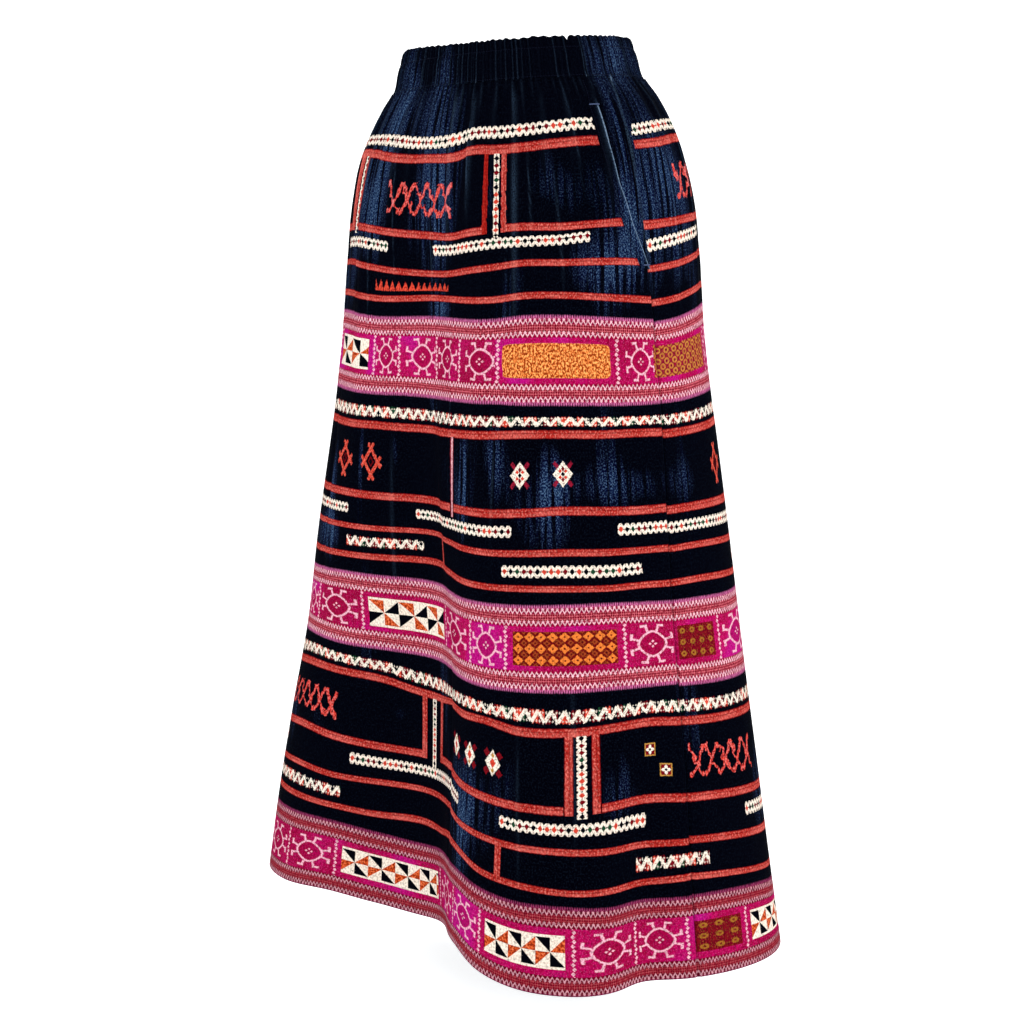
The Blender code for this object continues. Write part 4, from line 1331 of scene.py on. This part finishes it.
BACK_WAVES = (
    (0.060, (0, 0, 0, 0, 0, 0, 0, 0)),
    (0.091, (0, -3.5, -6.5, -8, -4, 2, 1, 0)),
    (0.105, (0, -2, -6, -8, -4, 3, 1, 0)),
    (0.178, (3, 1, -2, -4, -3, 4, 0, 0)),
    (0.195, (6, 1, -4, -8, -3, 3, 0, 0)),
    (0.215, (8, 5, 0, -5, 0, 2, 1, 0)),
    (0.248, (8, 5, -1, -6, 2, -3, -1, 0)),
    (0.348, (4, 3, 0, -2, 3, -3, 0, 0)),
    (0.379, (1, 0, -2, -4, 3, -2, 0, 0)),
    (0.521, (0, -1, 0, 2, -2, 2, 1, 0)),
    (0.539, (-2, -2, -1, -1, -3, 3, 1, 0)),
    (0.654, (-2, 0, 1, 2, 4, -3, 0, 0)),
    (0.727, (-3, -1, 2, 5, 3, -4, 1, 0)),
    (0.796, (3, 6, 11, 16, 2, -3, -1, 0)),
    (0.814, (2, 3, 6, 12, 2, -3, 2, 0)),
    (SIDE_LENGTH, (-1, 0, 0, 0, 0, 0, 0, 0)),
)


def curve_through(places, values, at):
    """A smooth curve through values at some places."""
    places, values = np.array(places, float), np.array(values, float)
    low = np.clip(np.searchsorted(places, at, side="right") - 1, 0, len(places) - 2)
    share = np.clip((at - places[low]) / (places[low + 1] - places[low]), 0.0, 1.0)
    return between(places, values, low, share)


def wandered(turn, level, half):
    """Drop at which a level of the print lies at a turn of the front, half 0, or of the back, half 1."""
    turn, level = np.broadcast_arrays(np.asarray(turn, float), np.asarray(level, float))
    turns, waves = ((FRONT_TURNS, FRONT_WAVES), (BACK_TURNS, BACK_WAVES))[half]
    shifts = np.array([curve_through(turns, row, turn) for _, row in waves]) / 1000.0
    place = np.interp(level, [row[0] for row in waves], np.arange(len(waves)))
    low = np.minimum(np.floor(place).astype(int), len(waves) - 2)
    share = place - low
    share = share * share * (3.0 - 2.0 * share)
    above = np.take_along_axis(shifts, low[None], axis=0)[0]
    below = np.take_along_axis(shifts, low[None] + 1, axis=0)[0]
    return level + above * (1.0 - share) + below * share


def lay_out_print():
    """All the patches of the print: what each one is, its edges, and its map."""
    patches = []

    def lay(kind, left, right, top, bottom, width=None, across=None, height=None, flip=False,
            turned=False, half=None):
        """Puts a patch down. Width is its width on the map in mm, or else its real one.

        Across is the map's x at its left edge. Height scales y, which is measured up from its
        middle, or with across set to "border", inwards from its outer edge, which is the lower one
        if it is flipped. A turned patch has its x up the cloth. Half 0 is on the front alone, and
        half 1 on the back.
        """
        patches.append(dict(kind=kind, left=left, right=right, top=top, bottom=bottom, width=width,
                            across=across, height=height, flip=flip, turned=turned, half=half))

    for number, start in enumerate(REPEATS):
        strip = start + STRIP
        kind, tall = ("flowers", STRIP_HEIGHT) if number == 0 else ("triangles", TRIANGLE_STRIP_HEIGHT)
        for half in (0, 1):
            lay(kind, half - OVERLAP, half + 1.0 + OVERLAP, strip - tall / 2, strip + tall / 2, half=half)
        for index, (place, thick) in enumerate(LINES):
            middle = start + place
            reach = thick / 2000.0 + LINE_MARGIN
            gaps = DIVIDERS[number] if index == 1 else ()
            ends = [-OVERLAP]
            for left_bar, _, right_bar, _, _ in gaps:
                ends += [left_bar, right_bar]
            ends.append(2.0 + OVERLAP)
            for left, right in zip(ends[::2], ends[1::2]):
                lay("line", left, right, middle - reach, middle + reach, height=LINE_THICKNESS / thick)
        top, foot = start + FRAME_TOP, start + LINES[1][0] + FRAME_FOOT
        cloth_width = front_width(start + FRAME_LEVEL)
        for row in DIVIDERS[number]:
            divider = dict(zip(DIVIDER_COLUMNS, row))
            bar, white = (divider["size"] * wide / cloth_width for wide in (DIVIDER_BAR, DIVIDER_STRIP))
            lay("flowers", divider["strip"] - white / 2, divider["strip"] + white / 2, top,
                start + divider["strip_end"], turned=True)
            for middle in (divider["left_bar"], divider["right_bar"]):
                kind = "red bar" if middle in RED_BARS else "line"
                lay(kind, middle - bar / 2, middle + bar / 2, top, foot, turned=True,
                    height=1.0 / divider["size"])
        thin = THIN_BAR / cloth_width
        for kind, place, bar_top, bar_foot in THIN_BARS[number]:
            lay(kind, place - thin / 2, place + thin / 2, start + bar_top, start + bar_foot, turned=True,
                height=THIN_LINE if kind == "line" else None)
        for kind, left, right in FIGURES[number]:
            middle = start + FIELD
            real = (right - left) * front_width(middle) * 1000.0
            tall, wide = FIGURE_SIZES[kind]
            low = SQUARE_DROPS.get(left, 0.0)
            if kind == "crosses":
                crosses = max(2, round(real / wide))
                lay(kind, left, right, middle - tall, middle + tall, width=crosses * wide)
            else:
                lay(kind, left, right, middle - tall + low, middle + tall + low,
                    width=wide, across=-wide / 2)
        for left, right in SHORT_STRIPS[number]:
            middle = start + SHORT_STRIP
            real = (right - left) * front_width(middle) * 1000.0
            lay("flowers", left, right, middle - STRIP_HEIGHT / 2, middle + STRIP_HEIGHT / 2,
                width=round(real / FLOWER_PITCH) * FLOWER_PITCH)
        for kind, left, right in LOWER_STRIPS[number]:
            middle, tall = start + LOWER_STRIP, LOWER_STRIP_HEIGHTS[kind]
            lay(kind, left, right, middle - tall / 2, middle + tall / 2)
        band = start + BAND_TOP
        foot = band + BAND_HEIGHT + (HEM_BORDER_DROP if number == 2 else 0.0)
        middle = (band + foot) / 2
        cloth_width = front_width(middle)
        for half in (0, 1):
            left, right = half - OVERLAP, half + 1.0 + OVERLAP
            lay("magenta", left, right, band + BORDER_HEIGHT, foot - BORDER_HEIGHT, half=half)
            edge = "hem border" if number == 2 else "border"
            lay(edge, left, right, band, band + BORDER_HEIGHT, across="border", half=half)
            lay(edge, left, right, foot - BORDER_HEIGHT, foot, across="border", flip=True, half=half)
        for (left, kind, count), (right, _, _) in zip(BANDS[number], BANDS[number][1:]):
            at_seam = abs(left - round(left)) < NEAR_SEAM
            if kind in (STAR, CRIMSON_STAR):
                shift = count * (STAR_CELL / 1000.0) / ((right - left) * cloth_width)
                lay(kind, left, right, band + BORDER_HEIGHT, foot - BORDER_HEIGHT, width=STAR_CELL,
                    across=-STAR_CELL / 2 - shift)
            else:
                gaps = PATCH_INSETS.get(kind, (PATCH_INSET, PATCH_INSET))
                inset, end = (gap / cloth_width for gap in gaps)
                cell = WHEEL_CELL if "pinwheels" in kind else BLOCK_CELL
                lay(kind, left + (SEAM_INSET if at_seam else inset), right - end, middle - PATCH_HALF,
                    middle + PATCH_HALF, width=count * cell)
            rope = ROPE_WIDTH / cloth_width
            if not at_seam:
                lay("rope", left - rope / 2, left + rope / 2, band + BORDER_HEIGHT, foot - BORDER_HEIGHT,
                    width=ROPE_WIDTH * 1000.0, across=-ROPE_WIDTH * 500.0)
    return patches


PATCHES = lay_out_print()
PANEL_TOP = CASING_HEIGHT + SEAM_GAP
HEM_TURN = 0.015           # the hem is turned up inside by this much
HEM_EDGE = SIDE_LENGTH - HEM_TURN
HEM_LEDGE = 0.0012         # the turning reaches its full thickness this far below its edge
ROW_STEP = 0.0068          # the cloth's rows lie no further apart than this
TOP_ROW_STEP = 0.0042      # and this where it is gathered
LEAST_STEP = 0.0006        # edges of the print closer than this share a row
GATHERED_END = 0.12


def print_levels():
    """Levels of the rows of the cloth: every edge of the print, with even rows between."""
    edges = {PANEL_TOP, HEM_EDGE, HEM_EDGE + HEM_LEDGE, SIDE_LENGTH}
    edges |= {edge for patch in PATCHES for edge in (patch["top"], patch["bottom"])}
    edges = sorted(edge for edge in edges if PANEL_TOP <= edge <= SIDE_LENGTH)
    levels = [edges[0]]
    for edge in edges[1:]:
        if edge - levels[-1] < LEAST_STEP:
            continue
        step = TOP_ROW_STEP if levels[-1] < GATHERED_END else ROW_STEP
        count = max(1, int(np.ceil((edge - levels[-1]) / step)))
        levels += list(levels[-1] + (edge - levels[-1]) * np.arange(1, count + 1) / count)
    return np.array(levels)


LEVELS_OF_PRINT = print_levels()

# The front and back panels
# Straight-woven cotton, cut wider towards the hem and gathered into the casing. The hem is turned
# up inside, and the front has a slanted cut at each side for the pockets.

# How far the side seams swing forward beside the pockets, and the width from seam to slash
POCKET_DROPS = (0.038, 0.068, 0.105, 0.140, 0.180, 0.223, 0.265, 0.330, 0.420, 0.520)
SEAM_SWINGS = (0.001, 0.0085, 0.011, 0.011, 0.0085, 0.002, -0.004, -0.006, -0.003, 0.0)
SLASH_WIDTHS = (0.022, 0.0225, 0.0215, 0.0185, 0.011, 0.0, 0.0, 0.0, 0.0, 0.0)
POCKET_END = 0.223
# The back panel's print stops this far from the side seams beside the pockets
BARE_DROPS = (0.070, 0.090, 0.200, 0.230)
BARE_MARGINS = (0.0075, 0.0075, 0.0020, 0.0)
COLUMNS = 258
CLOTH = 0.0008
HEM_CLOTH = 0.0021         # the cloth and its turned-up hem
# Rows past the hem, where the fold rounds off: how much lower each lies, and how far out. The
# print goes on by a step for each
HEM_ROLL = ((0.0006, -0.0003), (0.0010, -0.0008))
HEM_ROLL_STEP = 0.0008
SUNK_EDGE, SUNK_REACH = 0.0013, 0.0011        # a panel's edges sink into the seams
# Beside the pockets the back's turned edge has a pale line, partly rubbed dye and partly painted
# highlight: how far from the seam, its reach, and the drops where it dies away
SEAM_PALE_LINE, SEAM_PALE_REACH = 0.0012, 0.0016
SEAM_PALE_FADES, SEAM_PALE_ENDS = 0.20, 0.29


def seam_swing(drop):
    """How far forward of the skirt's side its seam lies."""
    return np.interp(drop, POCKET_DROPS, SEAM_SWINGS)


def slash_width(drop):
    """Width from the side seam to the pocket's slash."""
    return np.interp(drop, POCKET_DROPS, SLASH_WIDTHS)


def columns_at(level, half):
    """Turns of a row's points. They fall on the edges of the print that cross the row."""
    inset = SEAM_GAP / 2 + (seam_swing(level) + slash_width(level) if half == 0 else -seam_swing(level))
    first = half + inset / front_width(level)
    last = half + 1.0 - inset / front_width(level)
    turns = np.linspace(first, last, COLUMNS + 1)
    spacing = (last - first) / COLUMNS
    for patch in PATCHES:
        if patch["half"] is None and patch["top"] - 1e-6 <= level <= patch["bottom"] + 1e-6:
            for side in (patch["left"], patch["right"]):
                nearest = int(round((side - first) / spacing))
                if 0 < nearest < COLUMNS:
                    turns[nearest] = side
    return turns


def panel(name, half):
    """One panel with its print."""
    level = LEVELS_OF_PRINT[:, None]
    turn = np.array([columns_at(each, half) for each in LEVELS_OF_PRINT])
    drop = wandered(turn, level, half)
    out, _ = relief(turn, drop)
    to_edge = np.minimum(turn - turn[:, :1], turn[:, -1:] - turn) * front_width(drop)
    out = out - SUNK_EDGE * np.exp(-(to_edge / SUNK_REACH)**2)
    thick = CLOTH + (HEM_CLOTH - CLOTH) * blend(level, HEM_EDGE, HEM_EDGE + HEM_LEDGE)
    outer = np.concatenate([out] + [out[-1:] + moved for _, moved in HEM_ROLL])
    inner = np.concatenate([out - thick] + [out[-1:] - HEM_CLOTH - moved for _, moved in HEM_ROLL])
    drop = np.concatenate([drop] + [drop[-1:] + lower for lower, _ in HEM_ROLL])
    turn = np.concatenate([turn] + [turn[-1:]] * len(HEM_ROLL))
    rubbed_and_lit = 0.0
    if half == 1:
        to_seam = np.minimum(turn - turn[:, :1], turn[:, -1:] - turn) * front_width(drop)
        # Pale line beside the seam: partly rubbed dye, partly painted highlight
        rubbed_and_lit = (np.exp(-((to_seam - SEAM_PALE_LINE) / SEAM_PALE_REACH)**2)
                  * (1.0 - blend(drop, SEAM_PALE_FADES, SEAM_PALE_ENDS)))
    piece = wall(name, turn, drop, outer, inner, worn_and_lit=rubbed_and_lit)
    mesh = piece.data
    for kind in KINDS:
        mesh.materials.append(PRINTS[kind])
    past_hem = LEVELS_OF_PRINT[-1] + np.arange(1, len(HEM_ROLL) + 1) * HEM_ROLL_STEP
    levels = np.concatenate((LEVELS_OF_PRINT, past_hem))
    middle_turn = (turn[:-1, :-1] + turn[1:, :-1] + turn[:-1, 1:] + turn[1:, 1:]) / 4
    middle_level = np.broadcast_to(((levels[:-1] + levels[1:]) / 2)[:, None], middle_turn.shape)
    kinds = np.zeros(middle_turn.shape, int)
    motif = np.zeros(middle_turn.shape + (4, 2))
    corner_turn = np.stack((turn[:-1, :-1], turn[1:, :-1], turn[1:, 1:], turn[:-1, 1:]), axis=-1)
    corner_level = np.stack((levels[:-1], levels[1:], levels[1:], levels[:-1]), axis=-1)
    corner_level = np.broadcast_to(corner_level[:, None, :], corner_turn.shape)
    for patch in PATCHES:
        if patch["half"] not in (None, half):
            continue
        inside = ((middle_turn > patch["left"]) & (middle_turn < patch["right"])
                  & (middle_level > patch["top"]) & (middle_level < patch["bottom"]))
        if not inside.any():
            continue
        middle = (patch["top"] + patch["bottom"]) / 2
        wide = patch["right"] - patch["left"]
        real = wide * front_width(middle) * 1000.0
        width = patch["width"] or real
        x = (corner_turn[inside] - patch["left"]) / wide * width
        y = (middle - corner_level[inside]) * 1000.0
        if patch["across"] == "border":
            y = (corner_level[inside] - patch["top"]) * 1000.0
            if patch["flip"]:
                y = (patch["bottom"] - corner_level[inside]) * 1000.0
        elif patch["across"] is not None:
            x = x + patch["across"]
        if patch["height"] is not None:
            y = y * patch["height"]
        if patch["turned"]:
            x, y = y, x - width / 2
        kinds[inside] = KINDS.index(patch["kind"])
        motif[inside] = np.stack((x, y), axis=-1)
    if half == 1:
        from_seam = (to_seam[:-1, :-1] + to_seam[1:, 1:]) / 2
        bare = np.interp(middle_level, BARE_DROPS, BARE_MARGINS)
        kinds[from_seam < bare] = KINDS.index("ground")
    faces = np.full(len(mesh.polygons), KINDS.index("inside"), np.int32)
    faces[:kinds.size] = kinds.reshape(-1)
    mesh.polygons.foreach_set("material_index", faces)
    flat = np.zeros((len(mesh.loops), 2))
    flat[:kinds.size * 4] = motif.reshape(-1, 2)
    mesh.uv_layers.new(name="motif").data.foreach_set("uv", flat.reshape(-1))
    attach(piece, "root")
    return piece


front = panel("front_cloth", 0)
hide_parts("front_panel")
back = panel("back_cloth", 1)
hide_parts("back_panel")

# The pockets
# A slanted cut at each side of the front, edged with a folded strip of plain indigo cotton. Behind
# it a plain piece fills the space up to the side seam. A short bar of thread stops each end.

BACKING_TUCK = 0.012       # the backing reaches this far under the front
BACKING_SEAM = 0.006       # and this far past the side seam
BACKING_COLUMNS = 19
# How far it lies under the front's face: at the seam, so much more away from it, and past it
BACKING_SUNK = 0.0006
SUNK_INSIDE, SUNK_INSIDE_REACH = 0.0014, 0.006
SUNK_PAST, SUNK_PAST_REACH = 0.0012, 0.002
WELT_WIDTH = 0.0100
POCKET_LEVELS = np.linspace(PANEL_TOP, POCKET_END, 44)
# Section of the welt, from its fold at the slash to its sewn edge: how far from the slash, how far
# out its top lies, and how far out its underside
WELT_SECTION = (
    (-0.0004, 0.0008, -0.0003), (0.0002, 0.0011, 0.0001), (0.0012, 0.0012, 0.0001),
    (0.0028, 0.0010, 0.0001), (0.0045, 0.0009, 0.0001), (0.0065, 0.0008, 0.0001),
    (0.0085, 0.0008, 0.0001), (WELT_WIDTH - 0.0003, 0.0007, 0.0001), (WELT_WIDTH, 0.0003, 0.0001),
)
WELT_PALE_REACH = 0.0022    # its fold is painted pale this far: partly rubbed dye, partly painted highlight
WELT_PALE_STARTS, WELT_PALE_FULL = 0.060, 0.068
WELT_STITCH_INSET = 0.0016
WELT_STITCH_LIFT, TACK_LIFT = 0.0013, 0.0016   # how far the stitches stand off the front
TACK_START = -0.0015
TACK_STEPS = 40
TACK_ZIGZAG = 0.0006       # a tack's thread goes up and down by this much
# Tacks: name, drop and length
TACKS = (("upper", 0.066, 0.0090), ("lower", 0.219, 0.006))


def pocket_turn(side, from_seam, drop):
    """Turn of a point at a distance from the side seam, towards the front's middle."""
    share = (from_seam + seam_swing(drop)) / front_width(drop)
    return 1.0 - share if side == "left" else share


TACK_THREAD = thread_material("Pale blue thread", dye(84, 98, 132))
for side in ("left", "right"):
    down = POCKET_LEVELS[:, None]
    slash = slash_width(down)
    share = np.linspace(0.0, 1.0, BACKING_COLUMNS)[None, :]
    from_seam = -BACKING_SEAM + (slash + BACKING_TUCK + BACKING_SEAM) * share
    sunk = (BACKING_SUNK + SUNK_INSIDE * blend(from_seam, 0.0, SUNK_INSIDE_REACH)
            + SUNK_PAST * blend(-from_seam, 0.0, SUNK_PAST_REACH))
    # A wall's columns have to follow its turns, and turns fall with the distance from the left seam
    order = slice(None, None, -1) if side == "left" else slice(None)
    turn = pocket_turn(side, from_seam, down)[:, order]
    lifted, _ = relief(turn, down)
    sunk = sunk[:, order]
    backing = wall(f"pocket_backing_{side}_cloth", turn, down, lifted - sunk, lifted - sunk - CLOTH)
    backing.data.materials.append(INDIGO_COTTON)
    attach(backing, "root")
    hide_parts(f"pocket_backing_{side}")

    ahead, over, under = (np.array(values)[None, order] for values in zip(*WELT_SECTION))
    turn = pocket_turn(side, slash + ahead, down)
    lifted, _ = relief(turn, down)
    # The welt's fold is painted pale: partly rubbed dye, partly painted highlight
    rubbed_and_lit = blend(down, WELT_PALE_STARTS, WELT_PALE_FULL) * np.exp(-(ahead / WELT_PALE_REACH)**2)
    welt = wall(f"pocket_welt_{side}_cloth", turn, down, lifted + over, lifted + under, worn_and_lit=rubbed_and_lit)
    welt.data.materials.append(INDIGO_COTTON)
    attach(welt, "root")
    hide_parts(f"pocket_welt_{side}")

    line = np.linspace(PANEL_TOP + 0.003, POCKET_END - 0.004, 160)
    from_seam = slash_width(line) + WELT_WIDTH - WELT_STITCH_INSET
    turn = pocket_turn(side, from_seam, line)
    stitches(f"welt_stitches_{side}", turn, line, relief(turn, line)[0] + WELT_STITCH_LIFT,
             length=0.0021, pitch=0.0028, radius=0.00025, material=NAVY_THREAD)
    for end, drop, wide in TACKS:
        line = np.linspace(TACK_START, wide, TACK_STEPS)
        turn = pocket_turn(side, slash_width(drop) + line, drop + 0.0 * line)
        zigzag = drop + TACK_ZIGZAG * (-1.0)**np.arange(TACK_STEPS)
        stitches(f"pocket_tack_{end}_{side}", turn, zigzag, relief(turn, drop)[0] + TACK_LIFT,
                 length=0.0011, pitch=0.00078, radius=0.00030, material=TACK_THREAD)

# The hem and the side seams
# Dark red thread holds the hem's turning. Inside, the seams' turnings lie pressed open beside each
# side seam.

HEM_THREAD = thread_material("Dark red thread", dye(112, 20, 48))
HEM_STITCH_HEIGHT = 0.0125  # above the hem's edge
HEM_STITCH_LIFT = 0.00012
TURNING_TOP = 0.292        # the turnings run from below the pocket to just above the hem's own
TURNING_GAP = 0.004
TURNING_PLACES = (-0.0105, -0.0100, -0.006, -0.002, 0.002, 0.006, 0.0100, 0.0105)
TURNING_CLOTH = 0.0009
SEAM_DEPTH, SEAM_REACH = 0.0010, 0.0025   # the seam's own ridge inside
for name, half in (("front", 0), ("back", 1)):
    line = np.linspace(half + 0.002, half + 0.998, 1300)
    down = wandered(line, SIDE_LENGTH - HEM_STITCH_HEIGHT, half)
    stitches(f"hem_stitches_{name}", line, down, relief(line, down)[0] + HEM_STITCH_LIFT,
             length=0.0020, pitch=0.0036, radius=0.00024, material=HEM_THREAD)
for side, seam in (("left", 1.0), ("right", 0.0)):
    down = np.linspace(TURNING_TOP, HEM_EDGE - TURNING_GAP, 90)[:, None]
    swing = -seam_swing(down) if side == "left" else seam_swing(down)
    from_seam = np.array(TURNING_PLACES)[None, :]
    turn = seam + (from_seam + swing) / front_width(down)
    lifted, _ = relief(turn, down)
    outer = lifted - CLOTH - 0.0004 - SEAM_DEPTH * np.exp(-(from_seam / SEAM_REACH)**2)
    turning = wall(f"seam_turning_{side}", turn, down, outer, outer - TURNING_CLOTH)
    turning.data.materials.append(PRINTS["inside"])
    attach(turning, "root")

# The studio
# A pale floor that curves up behind the skirt, with a large soft light at each side, one in front
# and one high behind, so that both sides gleam and the middle stays deep.

FLOOR = -1.02
# The paper's reach to the sides and the front, where it starts to bend up behind, how wide the bend
# is, and how high it goes
SWEEP_SIDE, SWEEP_BACK, SWEEP_BEND, SWEEP_TOP = 9.0, 2.4, 1.6, 5.0
BEND_STEPS = 16
PAPER, PAPER_GLOW = (0.86, 0.86, 0.86, 1.0), 0.72
AZIMUTH, PITCH = radians(53.4), radians(7.41)
DISTANCE, SIDEWAYS, EYE_HEIGHT = 1.9773, -0.00195, -0.2213
LENS, SENSOR = 66.13, 36.0

camera_way = Vector((sin(AZIMUTH), -cos(AZIMUTH), 0.0))   # from the skirt towards the camera
right_way = Vector((cos(AZIMUTH), sin(AZIMUTH), 0.0))   # to the right in the picture
camera_data = bpy.data.cameras.new("Camera")
camera_data.lens, camera_data.sensor_width = LENS, SENSOR
camera_data.clip_end = 60.0
camera = bpy.data.objects.new("Camera", camera_data)
bpy.context.scene.collection.objects.link(camera)
camera.location = camera_way * DISTANCE + right_way * SIDEWAYS + Vector((0.0, 0.0, EYE_HEIGHT))
camera.rotation_euler = (pi / 2 - PITCH, 0.0, AZIMUTH)
bpy.context.scene.camera = camera

floor_material = bpy.data.materials.new("Pale paper")
floor_material.use_nodes = True
paper = floor_material.node_tree
paper_shader = paper.nodes["Principled BSDF"]
paper_shader.inputs["Base Color"].default_value = PAPER
paper_shader.inputs["Roughness"].default_value = 0.9
paper_shader.inputs["Emission Color"].default_value = (1.0, 1.0, 1.0, 1.0)
seen = paper.nodes.new("ShaderNodeLightPath")
glow = paper.nodes.new("ShaderNodeMath")
glow.operation = "MULTIPLY"
glow.inputs[1].default_value = PAPER_GLOW
paper.links.new(seen.outputs["Is Camera Ray"], glow.inputs[0])
paper.links.new(glow.outputs[0], paper_shader.inputs["Emission Strength"])

profile = [(SWEEP_SIDE, FLOOR), (0.0, FLOOR), (-SWEEP_BACK, FLOOR)]
profile += [(-SWEEP_BACK - SWEEP_BEND * sin(angle), FLOOR + SWEEP_BEND * (1.0 - cos(angle)))
            for angle in np.linspace(0.0, pi / 2, BEND_STEPS + 1)[1:]]
profile.append((-SWEEP_BACK - SWEEP_BEND, SWEEP_TOP))
points = [camera_way * along + right_way * side + Vector((0.0, 0.0, high))
          for along, high in profile for side in (-SWEEP_SIDE, SWEEP_SIDE)]
sweep_mesh = bpy.data.meshes.new("Paper sweep")
strips = [(first, first + 1, first + 3, first + 2) for first in range(0, 2 * len(profile) - 2, 2)]
sweep_mesh.from_pydata(points, [], strips)
sweep_mesh.shade_smooth()
sweep_mesh.materials.append(floor_material)
sweep = bpy.data.objects.new("Paper sweep", sweep_mesh)
bpy.context.scene.collection.objects.link(sweep)


SKIRT_MIDDLE = Vector((0.0, 0.0, -0.45))


def soft_light(name, way, height, size, power, colour):
    """A square soft light that faces the middle of the skirt."""
    data = bpy.data.lights.new(name, "AREA")
    data.shape, data.size, data.energy, data.color = "SQUARE", size, power, colour
    lamp = bpy.data.objects.new(name, data)
    bpy.context.scene.collection.objects.link(lamp)
    lamp.location = way + Vector((0.0, 0.0, height))
    aim = SKIRT_MIDDLE - lamp.location
    lamp.rotation_euler = aim.to_track_quat("-Z", "Y").to_euler()


soft_light("Left light", right_way * -2.4 + camera_way * 0.9,
           height=0.6, size=1.2, power=58.0, colour=(0.92, 0.96, 1.0))
soft_light("Right light", right_way * 2.4 + camera_way * 1.0,
           height=0.6, size=1.2, power=58.0, colour=(0.94, 0.97, 1.0))
soft_light("Back light", camera_way * -2.6,
           height=2.7, size=1.4, power=48.0, colour=(1.0, 1.0, 1.0))
soft_light("Front light", right_way * 0.4 + camera_way * 3.2,
           height=1.2, size=1.4, power=60.0, colour=(1.0, 0.98, 0.96))

SKY_LIGHT, SKY_SEEN = 0.27, 0.95       # how bright the room is as a light, and as it is seen
world = bpy.data.worlds.new("Studio")
bpy.context.scene.world = world
world.use_nodes = True
sky = world.node_tree
sky.nodes["Background"].inputs["Color"].default_value = (0.9, 0.94, 1.0, 1.0)
looked_at = sky.nodes.new("ShaderNodeLightPath")
brightness = sky.nodes.new("ShaderNodeMapRange")
brightness.inputs["To Min"].default_value, brightness.inputs["To Max"].default_value = SKY_LIGHT, SKY_SEEN
sky.links.new(looked_at.outputs["Is Camera Ray"], brightness.inputs["Value"])
sky.links.new(brightness.outputs["Result"], sky.nodes["Background"].inputs["Strength"])
bpy.context.scene.view_settings.view_transform = "Standard"
